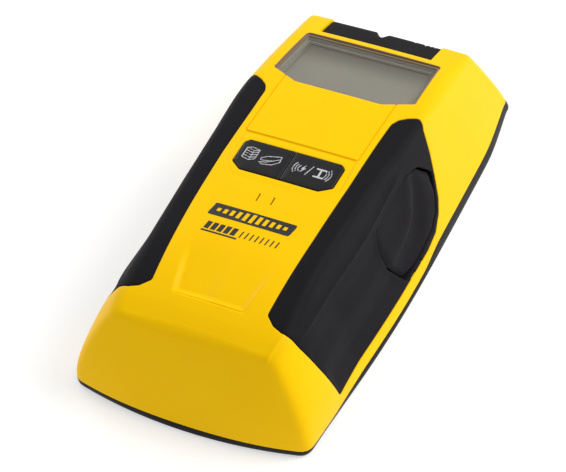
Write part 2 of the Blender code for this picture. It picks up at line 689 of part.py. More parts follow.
def add_bay(base):
    """Walls round the battery, the opening for the door and the notch for its latch."""
    outer_low = (-DOOR_HALF_WIDTH - GAP - BAY_WALL, DOOR_Y[0] - GAP - BAY_WALL, 1.0)
    outer_high = (DOOR_HALF_WIDTH + GAP + BAY_WALL, BATTERY_Y[1], BAY_WALL_TOP)
    walls = box("bay_walls", outer_low, outer_high, CUTTERS)
    boolean(base, walls, "UNION")
    opening = box("door_opening", (-DOOR_HALF_WIDTH - GAP, DOOR_Y[0] - GAP, -1.0),
                  (DOOR_HALF_WIDTH + GAP, DOOR_Y[1] + DOOR_RELIEF, BAY_WALL_TOP + 1.0), CUTTERS)
    boolean(base, opening)
    notch = box("latch_notch", (-LATCH_HALF_WIDTH - GAP, DOOR_Y[0] - LATCH_LENGTH - GAP, -1.0),
                (LATCH_HALF_WIDTH + GAP, DOOR_Y[0], PLATE_FLOOR), CUTTERS)
    boolean(base, notch)


def make_battery_door(plastic):
    """A lid that hooks on two tabs and swings down; its latch tongue is at the near end."""
    door = box("battery_door", (-DOOR_HALF_WIDTH, DOOR_Y[0], DOOR_RECESS),
               (DOOR_HALF_WIDTH, DOOR_Y[1], PLATE_FLOOR), PARTS, plastic)
    latch = box("latch", (-LATCH_HALF_WIDTH, DOOR_Y[0] - LATCH_LENGTH, DOOR_RECESS),
                (LATCH_HALF_WIDTH, DOOR_Y[0] + 1.0, PLATE_FLOOR - GAP), CUTTERS)
    boolean(door, latch, "UNION")
    for index, (left, right) in enumerate(HINGE_TABS):
        tab = box(f"tab_{index}", (left, DOOR_Y[1] - 3.0, PLATE_FLOOR + GAP),
                  (right, DOOR_Y[1] + 2.4, PLATE_FLOOR + 1.5), CUTTERS)
        root = box(f"tab_root_{index}", (left, DOOR_Y[1] - 3.0, 1.0),
                   (right, DOOR_Y[1] - 0.4, PLATE_FLOOR + 1.0), CUTTERS)
        boolean(door, root, "UNION")
        boolean(door, tab, "UNION")
    pull_slot = box("pull_slot", (-PULL_SLOT_HALF_WIDTH, DOOR_Y[0] - 1.0, -1.0),
                    (PULL_SLOT_HALF_WIDTH, DOOR_Y[0] - 0.2, 0.8), CUTTERS)
    boolean(door, pull_slot)
    move_origin(door, (0.0, *DOOR_PIVOT))
    return door


def make_battery(case, metal, snap_plastic):
    mid_z = sum(BATTERY_Z) / 2
    end = BATTERY_Y[1]
    battery = box("battery", (-BATTERY_HALF_WIDTH, BATTERY_Y[0], BATTERY_Z[0]),
                  (BATTERY_HALF_WIDTH, end, BATTERY_Z[1]), PARTS, case)
    bevel_edges(battery, 1.6)
    root, tip = end + GAP, end + TERMINAL_LENGTH
    cylinder("battery_stud_terminal", STUD_RADIUS, (-TERMINAL_X, root, mid_z), (-TERMINAL_X, tip, mid_z),
             PARTS, metal)
    cylinder("battery_socket_terminal", SOCKET_RADIUS, (TERMINAL_X, root, mid_z), (TERMINAL_X, tip, mid_z),
             PARTS, metal, segments=6)
    snap = box("snap_connector", (-SNAP_HALF_WIDTH, end + SNAP_DEPTH[0], SNAP_Z[0]),
               (SNAP_HALF_WIDTH, end + SNAP_DEPTH[1], SNAP_Z[1]), PARTS, snap_plastic)
    bevel_edges(snap, 0.8)


def bevel_edges(obj, width, segments=2):
    modifier = obj.modifiers.new("rounded", "BEVEL")
    modifier.width = width * MM
    modifier.segments = segments
    modifier.limit_method = "ANGLE"


def make_leads(red, black):
    """The battery's two leads, from the snap connector up to the main board."""
    for name, x, surface in (("red_lead", LEAD_X, red), ("black_lead", -LEAD_X, black)):
        start_y = BATTERY_Y[1] + SNAP_DEPTH[1] + GAP
        route = []
        for step in range(11):
            share = step / 10
            y = start_y + LEAD_REACH * math.sin(share * math.pi / 2)
            z = LEAD_START_Z + (BOARD_Z[0] - GAP - LEAD_START_Z) * (1 - math.cos(share * math.pi / 2))
            route.append((x + 0.6 * math.sin(share * math.pi), y, z))
        wire(name, route, LEAD_RADIUS, PARTS, surface)


# ---------------------------------------------------------------- keys and switches

def make_key(name, side, plastic):
    """One half of the key strip, with a flange under the housing and a stem to its switch."""
    split = [(x, y) for x, y in KEY_STRIP if x * side > 0]
    if side > 0:
        outline = [(GAP / 2, KEY_STRIP[0][1])] + split + [(GAP / 2, KEY_STRIP[4][1])]
    else:
        outline = [(-GAP / 2, KEY_STRIP[4][1])] + split[1:] + [split[0], (-GAP / 2, KEY_STRIP[0][1])]
    key = plate(name, outline, KEY_FLANGE_Z, KEY_FACE_Z, PARTS, plastic)
    inner = [(x, y) for x, y in offset_outline(KEY_STRIP, KEY_FLANGE) if x * side > 0]
    edge_low, edge_high = KEY_STRIP[0][1] - KEY_FLANGE, KEY_STRIP[4][1] + KEY_FLANGE
    if side > 0:
        flange_outline = [(GAP / 2, edge_low)] + inner + [(GAP / 2, edge_high)]
    else:
        flange_outline = [(-GAP / 2, edge_high)] + inner[1:] + [inner[0], (-GAP / 2, edge_low)]
    flange = plate(name + "_flange", flange_outline, KEY_FLANGE_Z - 0.2, KEY_FLANGE_Z + 1.0, CUTTERS)
    boolean(key, flange, "UNION")
    x, y = KEY_CENTRES[name]
    tip = BOARD_Z[1] + GAP + SWITCH_HEIGHT + PLUNGER_OUT + GAP
    stem = cylinder(name + "_stem", KEY_STEM_RADIUS, (x, y, tip), (x, y, KEY_FLANGE_Z + 1.0), CUTTERS)
    boolean(key, stem, "UNION")
    move_origin(key, (x, y, tip))
    return key


def make_switch(prefix, place, direction, up, case, button):
    """A small push switch: a square case with a round well, and the plunger that moves in it."""
    place, direction = Vector(place), Vector(direction)
    half = SWITCH_SIZE / 2
    across = direction.cross(Vector(up))
    frame = Matrix((across, Vector(up), direction)).transposed().to_4x4()
    turn = Matrix.Translation(place) @ frame
    body = box(prefix + "_switch", (-half, -half, 0.0), (half, half, SWITCH_HEIGHT), PARTS, case, turn=turn)
    well_floor, well_top = turn @ Vector((0, 0, 1.0)), turn @ Vector((0, 0, SWITCH_HEIGHT + 1))
    well = cylinder(prefix + "_well", PLUNGER_RADIUS + GAP, well_floor, well_top, CUTTERS, segments=16)
    boolean(body, well)
    foot, tip = turn @ Vector((0, 0, PLUNGER_FOOT)), turn @ Vector((0, 0, SWITCH_HEIGHT + PLUNGER_OUT))
    cylinder(prefix + "_plunger", PLUNGER_RADIUS, foot, tip, PARTS, button, segments=16)


# ---------------------------------------------------------------- boards and display

def make_main_board(green, chip, metal, buzzer_plastic):
    board = box("main_board", (-BOARD_HALF_WIDTH, BOARD_Y[0], BOARD_Z[0]),
                (BOARD_HALF_WIDTH, BOARD_Y[1], BOARD_Z[1]), PARTS, green)
    for index, (x, y) in enumerate(BOARD_SCREWS):
        boolean(board, cylinder(f"board_hole_{index}", BOARD_PILOT[0], (x, y, 20.0), (x, y, 26.0), CUTTERS,
                                segments=12))
        low = BOARD_Z[0] - GAP - BOARD_SCREW_HEAD[1]
        make_screw(f"board_screw_{index + 1}", (x, y), low, BOARD_SCREW_HEAD, BOARD_SCREW_SHANK, metal)
    top = BOARD_Z[1] + GAP
    box("microcontroller", (CHIP_X[0], CHIP_Y[0], top), (CHIP_X[1], CHIP_Y[1], top + CHIP_HEIGHT), PARTS,
        chip)
    cylinder("buzzer", BUZZER_RADIUS, (*BUZZER_PLACE, top), (*BUZZER_PLACE, top + BUZZER_HEIGHT), PARTS,
             buzzer_plastic)
    box("board_link", (LINK_X[0], LINK_Y[0], SENSOR_Z[1] + GAP), (LINK_X[1], LINK_Y[1], BOARD_Z[0] - GAP),
        PARTS, chip)


def make_screw(name, place, low, head, shank, metal):
    """A screw pointing up, its head lowest, drawn without thread; head and shank are radius and length."""
    x, y = place
    top = low + head[1]
    screw = cylinder(name, head[0], (x, y, low), (x, y, top), PARTS, metal, segments=16)
    rod = cylinder(name + "_shank", shank[0], (x, y, top - 0.2), (x, y, top + shank[1]), CUTTERS, segments=12)
    boolean(screw, rod, "UNION")
    reach = head[0] * 0.55
    slot = box(name + "_slot", (x - reach, y - 0.3, low - 0.5), (x + reach, y + 0.3, low + 0.6), CUTTERS)
    boolean(screw, slot)
    return screw


def make_display(glass, frame_plastic, rubber):
    turn = lens_turn()
    glass_face = -LENS_SEAT - GAP - 0.3
    glass_back = glass_face - GLASS_THICKNESS
    box("lcd_glass", (GLASS_X[0], GLASS_Y[0], glass_back), (GLASS_X[1], GLASS_Y[1], glass_face), PARTS, glass,
        turn=turn)
    foot = BOARD_Z[1] + GAP
    frame = box("lcd_frame", (FRAME_X[0], FRAME_Y[0], foot), (FRAME_X[1], FRAME_Y[1], 45.0), PARTS,
                frame_plastic)
    boolean(frame, box("frame_top", (-40, 10, glass_face - 0.4), (40, 80, 40.0), CUTTERS, turn=turn))
    pocket_low = (GLASS_X[0] - GAP, GLASS_Y[0] - GAP, glass_back - GAP)
    pocket_high = (GLASS_X[1] + GAP, GLASS_Y[1] + GAP, 5.0)
    boolean(frame, box("glass_pocket", pocket_low, pocket_high, CUTTERS, turn=turn))
    boolean(frame, box("connector_slot", (CONNECTOR_X[0] - GAP, CONNECTOR_Y[0] - GAP, 20.0),
                       (CONNECTOR_X[1] + GAP, CONNECTOR_Y[1] + GAP, 40.0), CUTTERS))
    boolean(frame, box("frame_hollow", (FRAME_HOLLOW_X[0], FRAME_HOLLOW_Y[0], 20.0),
                       (FRAME_HOLLOW_X[1], FRAME_HOLLOW_Y[1], 40.0), CUTTERS))
    strip = box("lcd_connector", (CONNECTOR_X[0], CONNECTOR_Y[0], foot),
                (CONNECTOR_X[1], CONNECTOR_Y[1], 45.0), PARTS, rubber)
    boolean(strip, box("strip_top", (-40, 10, glass_back - GAP), (40, 80, 40.0), CUTTERS, turn=turn))


def make_sensor_board(green, copper, winding, ferrite, metal):
    board = box("sensor_board", (-SENSOR_HALF_WIDTH, SENSOR_Y[0], SENSOR_Z[0]),
                (SENSOR_HALF_WIDTH, SENSOR_Y[1], SENSOR_Z[1]), PARTS, green)
    for index, (x, y) in enumerate(HOUSING_SCREWS[2:]):
        room = cylinder(f"boss_room_{index}", BOSS_RADIUS + 2 * GAP, (x, y, 0), (x, y, 6), CUTTERS)
        boolean(board, room)
    for index, (x, y) in enumerate(SENSOR_SCREWS):
        room = cylinder(f"post_room_{index}", SENSOR_POST[0] + GAP, (x, y, 0), (x, y, 6), CUTTERS)
        boolean(board, room)
        low, high = SENSOR_POST[1] + GAP, SENSOR_POST[1] + GAP + SENSOR_SCREW[1]
        screw = cylinder(f"sensor_screw_{index + 1}", SENSOR_SCREW[0], (x, y, low), (x, y, high), PARTS,
                         metal, segments=16)
        radius, tip = SENSOR_SHANK
        boolean(screw, cylinder(f"sensor_shank_{index + 1}", radius, (x, y, tip), (x, y, low + GAP), CUTTERS,
                                segments=12), "UNION")
        name = f"sensor_slot_{index + 1}"
        boolean(screw, box(name, (x - 2, y - 0.3, low + 0.7), (x + 2, y + 0.3, high + 1), CUTTERS))
    low = SENSOR_Z[1] + GAP
    half_x, half_y = PLATE_SIZE[0] / 2, PLATE_SIZE[1] / 2
    for index, x in enumerate(PLATE_CENTRES):
        box(f"sensor_plate_{index + 1}", (x - half_x, PLATE_MID_Y - half_y, low),
            (x + half_x, PLATE_MID_Y + half_y, low + PLATE_THICKNESS), PARTS, copper)
    inner, outer = COIL_RADII
    foot, top = (0, COIL_Y, low), (0, COIL_Y, low + COIL_HEIGHT)
    coil = cylinder("metal_coil", outer, foot, top, PARTS, winding, segments=28)
    boolean(coil, cylinder("coil_bore", inner, (0, COIL_Y, 0.0), (0, COIL_Y, 12.0), CUTTERS, segments=28))
    cylinder("coil_core", inner - 0.4, foot, top, PARTS, ferrite, segments=28)


# ---------------------------------------------------------------- assembly

def build():
    yellow = material("housing_yellow", (1.0, 0.66, 0.0), 0.32)
    black = material("plate_black", (0.035, 0.032, 0.032), 0.45)
    rubber = material("grip_rubber", (0.035, 0.033, 0.035), 0.75)
    clear = material("lens_clear", (0.55, 0.53, 0.5), 0.08)
    key_black = material("key_black", (0.03, 0.028, 0.03), 0.55)
    green = material("board_green", (0.03, 0.18, 0.07), 0.5)
    chip = material("chip_black", (0.03, 0.03, 0.03), 0.5)
    metal = material("screw_steel", (0.6, 0.6, 0.6), 0.3, 1.0)
    copper = material("plate_copper", (0.8, 0.45, 0.25), 0.35, 1.0)
    glass = material("lcd_grey", (0.35, 0.36, 0.32), 0.2)
    white = material("frame_white", (0.8, 0.8, 0.78), 0.5)
    red = material("lead_red", (0.6, 0.03, 0.02), 0.5)
    battery_case = material("battery_case", (0.1, 0.12, 0.2), 0.35)
    foam = material("foam_grey", (0.15, 0.15, 0.15), 0.95)
    winding = material("winding_copper", (0.5, 0.18, 0.06), 0.4, 1.0)

    make_housing(yellow)
    make_base_plate(black)
    door = make_battery_door(black)
    pad = box("battery_foam_pad", (FOAM_X[0], FOAM_Y[0], PLATE_FLOOR + GAP), (FOAM_X[1], FOAM_Y[1], FOAM_TOP),
              PARTS, foam)
    attach(pad, door)
    for name, side in (("right", 1), ("left", -1)):
        make_grip(f"{name}_grip", side, rubber)
        button = make_side_button(f"{name}_side_button", side, rubber)
        y, z = BUTTON_STEM
        base_x = BUTTON_STEM_TIP - GAP - SWITCH_HEIGHT - PLUNGER_OUT
        make_switch(f"{name}_side", (side * base_x, y, z), (side, 0, 0), (0, 0, 1), chip, white)
        attach(bpy.data.objects[f"{name}_side_plunger"], button)
    make_lens(clear)
    make_marking_cap(black)
    for name, side in (("stud_key", -1), ("metal_key", 1)):
        key = make_key(name, side, key_black)
        x, y = KEY_CENTRES[name]
        make_switch(name, (x, y, BOARD_Z[1] + GAP), (0, 0, 1), (0, 1, 0), chip, white)
        attach(bpy.data.objects[f"{name}_plunger"], key)
    make_main_board(green, chip, metal, chip)
    make_display(glass, white, foam)
    make_sensor_board(green, copper, winding, chip, metal)
    make_battery(battery_case, metal, chip)
    make_leads(red, chip)
    for index, place in enumerate(HOUSING_SCREWS):
        head = (SCREW_HEAD[0], SCREW_HEAD[1] - 2 * GAP)
        make_screw(f"housing_screw_{index + 1}", place, GAP, head, SCREW_SHANK, metal)


def attach(child, parent):
    """Parent a piece to the one it moves with, leaving it where it is."""
    bpy.context.view_layer.update()
    child.parent = parent
    child.matrix_parent_inverse = parent.matrix_world.inverted()


clear_scene()
PARTS = new_collection(PART_NAME)
CUTTERS = new_collection("cutters")
build()
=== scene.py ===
"""Stud finder: the looks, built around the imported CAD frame.

The shell, the grips and every other piece that shows are rebuilt here as fine meshes on the same
body form as the CAD, with their edges, grooves and recesses. The pieces inside keep their CAD shape and
get their materials here.

All sizes are in millimetres in the CAD's own frame: +X is the right side, +Y the display end, +Z up.
"""
import math

import bmesh
import bpy
import numpy as np
from mathutils import Matrix, Vector


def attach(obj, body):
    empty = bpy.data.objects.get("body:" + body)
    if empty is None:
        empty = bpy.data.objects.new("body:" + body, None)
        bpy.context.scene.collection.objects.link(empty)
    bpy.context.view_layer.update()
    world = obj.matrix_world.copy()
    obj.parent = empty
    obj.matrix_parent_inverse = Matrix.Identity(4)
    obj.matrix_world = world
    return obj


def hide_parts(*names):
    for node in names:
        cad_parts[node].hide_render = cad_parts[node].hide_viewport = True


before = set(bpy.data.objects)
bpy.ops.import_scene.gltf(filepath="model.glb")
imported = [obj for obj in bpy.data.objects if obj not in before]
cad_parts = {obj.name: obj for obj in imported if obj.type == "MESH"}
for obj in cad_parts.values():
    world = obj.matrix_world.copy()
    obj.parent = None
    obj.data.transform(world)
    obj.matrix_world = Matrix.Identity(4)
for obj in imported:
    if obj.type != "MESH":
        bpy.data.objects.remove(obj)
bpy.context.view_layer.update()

MM = 0.001

# Body form, the same driving sizes as the CAD's
NEAR_END, FAR_END, NEAR_BOW, FAR_BOW = -86.5, 86.5, 4.4, 2.2
BASE_REACH, BASE_CORNER = 34.0, 3.4
CROWN_NEAR, CROWN_FAR, CROWN_CORNER = -76.7, 69.3, 1.7
BASE_HALF_WIDTH = (
    (-79, 36.7), (-70, 37.3), (-57, 38.7), (-44, 39.9), (-24, 40.95), (-3, 41.3), (20, 41.1), (40, 40.8),
    (55, 40.5), (63, 39.8), (70.5, 38.8), (79, 37.6),
)
CROWN_HALF_WIDTH = (
    (-75, 25.0), (-69, 25.6), (-50, 25.3), (-28, 25.9), (-6, 26.8), (16, 28.2), (34, 28.0), (50, 27.5),
    (67, 27.3),
)
TOP_PROFILE = (
    (-77, 29.5), (-70, 32.9), (-60, 35.8), (-48, 37.7), (-32, 38.7), (-14, 38.9),
    (6, 38.4), (24, 37.4), (38, 35.8), (50, 33.7), (60, 31.4), (68, 29.2),
)
TOP_CROWN = 0.35
SIDE_BULGE = ((-86.5, 3.9), (-68, 3.7), (-56, 1.8), (-44, 0.5), (86.5, 0.5))
END_BULGE = 1.0
SWELL_POWER, SWELL_SCALE = 0.7, 3.16
SEAM = ((-86.5, 2.3), (-70, 2.1), (-40, 2.05), (-2, 2.05), (12, 3.4), (50, 3.5), (86.5, 3.2))
EDGE_RADIUS = ((-77, 1.8), (-70, 2.6), (-45, 2.0), (20, 2.2), (34, 3.4), (58, 3.4), (69, 1.8))
GAP = 0.3
SHELL = 2.0                     # thickness of the fine shell
BASE_BLUR, CROWN_BLUR = (0.8, 0.6), (1.5, 0.6)      # softening of the upright corners, near and far
BLUR_CHANGE = (20.0, 60.0)      # where along the body the near softening gives way to the far one
WALL_LENGTH, TOP_REACH = 36, 26     # of the form from foot to crown and from crown to middle
FORM_SPACING, PLATE_SPACING = 1.05, 0.5
TOP_Z = 27.0                    # the features of the front lie above this height
OUTSIDE = 9.0                   # what a feature's field says where the feature can't be

# Grips and side buttons
GRIP_TOP_OUTLINE = (
    (18.0, -65.2), (18.6, -54.0), (19.5, -36.0), (20.3, -12.0), (20.5, 8.0), (20.8, 19.2), (22.0, 22.0),
    (24.2, 24.0), (27.6, 25.8), (60.0, 26.6), (60.0, -72.0), (24.6, -69.2), (20.8, -67.8),
)
GRIP_SIDE_OUTLINE = (
    (-69.4, 37.0), (-68.2, 28.5), (-66.0, 20.5), (-61.0, 5.7), (4.0, 5.4), (11.2, 6.5), (16.2, 9.8),
    (18.9, 13.6), (21.0, 20.0), (23.0, 27.4), (24.2, 34.2), (26.4, 38.0), (27.0, 60.0), (-69.4, 60.0),
)
GRIP_DEPTH = 1.2
BUTTON_OUTLINE = (
    (-16.2, 27.8), (-18.6, 22.4), (-17.8, 16.2), (-11.6, 7.3), (-1.2, 6.9), (9.4, 8.5), (15.2, 12.2),
    (17.8, 17.0), (19.8, 22.0), (14.0, 27.8), (7.0, 30.4),
)
BUTTON_DEPTH = 4.0
BUTTON_CREASE = (
    (9.6, 34.0), (7.3, 28.9), (5.4, 24.6), (3.1, 20.8), (-0.7, 18.6), (-4.9, 17.3), (-16.1, 15.9),
    (-24.0, 15.5),
)
GRIP_RIDGE = ((-64, 30.2), (-26, 30.2), (-12.5, 31.2), (1, 32.8), (6, 33.2))    # its height along the grip
GRIP_RELIEF = (
    (-25, 0.0), (-18, 0.65), (-11.5, 0.0), (-6, 0.35), (-0.7, -0.1), (0, -0.4), (0.7, -0.1), (2.4, 0.1),
    (3.8, 0.0),
)                               # height above the ridge, and how far the grip lies below the form there
GRIP_SEAM = 0.05                # gap left round a grip
GRIP_EDGE = 0.22                # radius of the shell's edge along a grip
RUBBER_EDGE, PAD_EDGE = 0.45, 0.4   # radius of a grip's own edge and of a pad's
BUTTON_SEAM, OPEN_SEAM = 0.18, 0.4  # gap between a grip and its button, and how much it opens at the ends
HOLE_MARGIN = 0.9               # how much larger than a side button the shell's opening is
LINER_REACH = 2.0               # how far round that opening the shell's recess shows the rubber
DISH_DEPTH, ABOVE_DEPTH, END_DEPTH = 1.7, 0.5, 1.1      # of a side button's hollows
STEM_Y, STEM_Z, STEM_TIP, STEM_ROOT, STEM_RADIUS = -1.0, 19.4, 28.3, 32.5, 2.0

# Display window
LENS_NEAR_Y, LENS_NEAR_Z, LENS_SLOPE = 27.4, 36.75, math.radians(9.6)
LENS_OUTLINE = ((-14.2, 27.4), (14.2, 27.4), (23.3, 32.0), (22.5, 56.0), (-22.5, 56.0), (-23.3, 32.0))
LENS_THICKNESS = 1.5
SEAT_GAP, SEAT_THICKNESS = 0.08, 1.3    # of the ledge that the cover rests on
WINDOW_INSET = 2.2
RIM, BORDER = 0.5, 1.5          # where the dark rim, a painted shadow, and the printed border end, from the cover's edge
DISPLAY_DEPTH, GLASS_TOP, GLASS_DEPTH = -1.85, -4.2, 2.4
WINDOW_EDGE, KEY_EDGE, CAP_EDGE = 0.3, 0.35, 0.4        # radii of the shell's edges
CLEARANCE = 0.15                # gap round the lens, the keys and the cap
STEP = 0.05                     # how far an upright wall leans

# Front fields, keys and slits
KEY_STRIP = (
    (-12.6, -17.4), (12.6, -17.4), (16.1, -14.6), (16.1, -5.8), (14.8, -4.3), (-14.8, -4.3), (-16.1, -5.8),
    (-16.1, -14.6),
)
KEY_FACE_Z, KEY_FLANGE_Z, KEY_TIP_Z = 39.3, 34.6, 29.9
KEY_PARTING = 0.06              # half the gap between the two keys
KEY_CROWN = 0.15                # how much a key's face swells
KEY_STEM_X, KEY_STEM_Y, KEY_STEM_RADIUS = 8.2, -10.8, 2.2
KEY_FIELD = ((-13.8, -20.6), (13.8, -20.6), (18.9, -15.2), (18.3, -0.8), (-18.3, -0.8), (-18.9, -15.2))
PANEL = ((-18.3, -0.8), (18.3, -0.8), (18.5, 34.0), (-18.5, 34.0))
CORNER_RIDGE = ((25.2, -66.0), (24.6, -69.0), (22.9, -76.2), (22.6, -80.0))
LOW_FIELD = ((-11.4, -66.9), (11.4, -66.9), (15.2, -44.0), (-15.2, -44.0))
KEY_BAY_DEPTH, LOW_BAY_DEPTH, LOW_BAY_RISE = 0.28, 1.15, 0.6
PANEL_GROOVE, KEY_BAY_GROOVE, LOW_BAY_GROOVE = (0.32, 0.42), (0.35, 0.16), (0.35, 0.22)   # width and depth
RIDGE_HEIGHT = 0.22
SLIT_X, SLIT_Y, SLIT_HALF_WIDTH, SLIT_EDGE = 2.3, (-28.3, -25.2), 0.24, 0.15
SLIT_FRAME = 0.5                # how far round a slit the shell's mesh is made to follow it

# Marking cap
CAP_X, CAP_NEAR_Y, CAP_FOOT_Z = (-19.6, 18.0), 59.0, 4.8
CAP_RECESS, CAP_DEPTH, CAP_ROUND = 0.6, 4.2, 0.5
NOTCH_X, NOTCH_HALF_WIDTH, NOTCH_DEPTH = -2.0, 2.7, 2.9
NOTCH_FLOOR = NOTCH_HALF_WIDTH * 0.3
NOTCH_TURN = (5.0, 12.0)        # height at which the notches turn from level to square to the flat
SCALE_NOTCHES = ((8.9, 0.5, 2.9), (12.6, 0.8, 2.2), (14.3, 0.6, 1.9), (15.8, 0.6, 1.8))

# Base plate and door
PLATE_FOOT, PLATE_FLOOR, PLATE_WALL, PLATE_LIP = 0.6, 2.0, 2.4, 0.2
DOOR_HALF_WIDTH, DOOR_Y, DOOR_RECESS = 13.6, (-74.9, -21.3), 0.2
LATCH_HALF_WIDTH, LATCH_LENGTH = 5.0, 3.0
HINGE_TABS = ((-11.0, -6.0), (6.0, 11.0))
HINGE_ROOT, HINGE_REACH = 3.0, 2.4
THUMB_RECESS = ((-7.5, -71.0), (7.5, -71.0), (7.5, -61.0), (-7.5, -61.0))
RIB_X, RIB_Y, RIB_PITCH, RIB_HALF_WIDTH = 5.8, (-69.4, -61.5), 1.7, 0.35
BAY_END_Y, BAY_WALL, BAY_TOP = -27.6, 1.2, 12.0
HOUSING_SCREWS = ((-26.5, -70.5), (26.5, -70.5), (-27.0, 66.0), (27.0, 66.0))
SCREW_HEAD, SCREW_HOLE = 2.9, 1.6
FAR_PART = 60.0                 # the notches reach the plate only beyond this place

# Print
PEN = 0.095                     # half width of the icons' strokes
ICON_Y = (-15.5, -5.5)
TIMBER_END = (
    ((-1.8, -2.0), (0.6, -2.6), (0.6, 1.7), (-1.8, 2.3), (-1.8, -2.0)),
    ((0.6, -2.6), (2.2, -1.6), (2.2, 2.4), (0.6, 1.7)),
    ((2.2, 2.4), (-0.2, 3.0), (-1.8, 2.3)),
)
METAL_STUD = (
    ((2.9, 2.4), (-1.2, 1.2), (-2.9, -0.2), (-2.5, -1.0), (0.9, -0.2)),
    ((0.9, -0.2), (-0.9, -1.4), (-2.7, -1.9), (-1.9, -2.6), (1.2, -1.9), (3.1, -0.1), (2.9, 2.4)),
    ((0.9, -0.2), (2.9, 1.2)),
)
FLASH = ((0.5, 2.0), (-0.7, -0.1), (0.0, 0.1), (-0.7, -1.9), (0.8, 0.5), (0.1, 0.3))
SLASH = ((1.3, -2.2), (2.7, 2.3))
BEAM = (((-1.4, 1.7), (1.4, 1.7)), ((-1.4, -1.7), (1.4, -1.7)), ((0.0, 1.7), (0.0, -1.7)))
LABEL = ((-13.4, -38.1), (12.4, -38.1), (13.4, -33.2), (-12.4, -33.2))
UNDER_LABEL_Y = -43.6

# Meshing
SLIDE = 0.28                    # a point this close to a line, as a share of its edge, slides onto it
ON_LINE, NEAR_LINE = 1e-5, 1e-4     # values of a field that count as on its line, and as near enough
WELD = 1e-3                     # points closer than about this are one
SHARP_ANGLE = 38.0

# Camera and light
CAMERA_PLACE, CAMERA_LENS, SENSOR_WIDTH = (213.61, -467.42, 495.59), 146.66, 36.0
AZIMUTH, ELEVATION, TILT = math.radians(25.294), math.radians(43.916), math.radians(1.791)
FLOOR_HALF_SIZE, FLOOR_DROP = 3.0, 0.00002      # in metres; the drop keeps the floor off the base's face
FLOOR_GLOW, WORLD_LIGHT = 0.5, 0.5


# ---------------------------------------------------------------- curves and outlines

def smooth(points, at):
    """Value of a smooth curve through a few (place, value) points, for an array of places."""
    places, values = np.array(points, float).T
    slopes = np.empty_like(values)
    slopes[1:-1] = (values[2:] - values[:-2]) / (places[2:] - places[:-2])
    slopes[0] = (values[1] - values[0]) / (places[1] - places[0])
    slopes[-1] = (values[-1] - values[-2]) / (places[-1] - places[-2])
    at = np.clip(at, places[0], places[-1])
    i = np.clip(np.searchsorted(places, at, side="right") - 1, 0, len(places) - 2)
    run = places[i + 1] - places[i]
    t = (at - places[i]) / run
    return ((2 * t**3 - 3 * t**2 + 1) * values[i] + (t**3 - 2 * t**2 + t) * run * slopes[i]
            + (3 * t**2 - 2 * t**3) * values[i + 1] + (t**3 - t**2) * run * slopes[i + 1])


def ease(value, low, high):
    """0 below low, 1 above high and a smooth step between."""
    t = np.clip((value - low) / (high - low), 0.0, 1.0)
    return t * t * (3 - 2 * t)


def offset_outline(outline, distance):
    """Grow a flat outline by a distance, keeping its corners sharp."""
    points = np.array(outline, float)
    before, after = np.roll(points, 1, axis=0), np.roll(points, -1, axis=0)
    area = np.sum(before[:, 0] * points[:, 1] - points[:, 0] * before[:, 1])
    side = 1.0 if area > 0 else -1.0
    into = points - before
    out_of = after - points
    into /= np.linalg.norm(into, axis=1)[:, None]
    out_of /= np.linalg.norm(out_of, axis=1)[:, None]
    normal_in = np.stack([into[:, 1], -into[:, 0]], axis=1) * side
    normal_out = np.stack([out_of[:, 1], -out_of[:, 0]], axis=1) * side
    shift = (normal_in + normal_out) / (1 + np.sum(normal_in * normal_out, axis=1))[:, None]
    return points + shift * distance


def from_edge(a, b, u, v):
    """Distances from a straight edge, and a value that is positive on its left."""
    edge = b - a
    wu, wv = u - a[0], v - a[1]
    t = np.clip((wu * edge[0] + wv * edge[1]) / (edge @ edge), 0.0, 1.0)
    return np.hypot(wu - t * edge[0], wv - t * edge[1]), edge[0] * wv - edge[1] * wu


def outline_field(outline, u, v, corner=0.0):
    """Signed distance from a flat outline, negative inside; corner rounds its corners."""
    corners = offset_outline(outline, -corner)
    nearest = np.full(len(u), np.inf)
    sign = np.ones(len(u))
    for a, b in zip(corners, np.roll(corners, -1, axis=0)):
        away, left = from_edge(a, b, u, v)
        nearest = np.minimum(nearest, away)
        above, below = v >= a[1], v < b[1]
        sign[(above & below & (left > 0)) | (~above & ~below & ~(left > 0))] *= -1
    return sign * nearest - corner


def line_distance(line, u, v):
    """Distance from an open line; negative on its right-hand side."""
    nearest = np.full(len(u), np.inf)
    side = np.ones(len(u))
    for a, b in zip(np.array(line[:-1], float), np.array(line[1:], float)):
        away, left = from_edge(a, b, u, v)
        closer = away < nearest
        nearest = np.where(closer, away, nearest)
        side = np.where(closer, np.sign(left), side)
    return nearest * side


def roll(distance, radius):
    """How far a rounded edge falls away at a distance from its line."""
    d = np.clip(distance, 0.0, radius)
    return radius - np.sqrt(radius**2 - (radius - d)**2)


# ---------------------------------------------------------------- the body's form

def top_height(x, y):
    width = smooth(CROWN_HALF_WIDTH, y)
    return smooth(TOP_PROFILE, y) + TOP_CROWN * (1 - np.minimum(np.abs(x) / width, 1.0)**2)


def half_outline(widths, ends, bows, corner, reach, steps):
    """Right half of an outline, from the middle of its near end to the middle of its far end.

    Each end runs out to its reach, bowed inwards, and then turns its corner to the side's width.
    """
    end, turn, side = steps
    near_side, far_side = ends[0] + bows[0] + corner, ends[1] - bows[1] - corner
    halves = []
    for place, bow, inward, side_end in zip(ends, bows, (1, -1), (near_side, far_side)):
        width = smooth(widths, side_end)
        out = reach or width - corner
        turned = bow + corner * (1 - np.cos(turn))
        halves.append(np.vstack([
            np.hstack([out * end, place + inward * bow * end**2]),
            np.hstack([out + (width - out) * np.sin(turn), place + inward * turned]),
        ]))
    y = near_side + (far_side - near_side) * side
    return np.concatenate([halves[0], np.hstack([smooth(widths, y), y]), halves[1][::-1]])


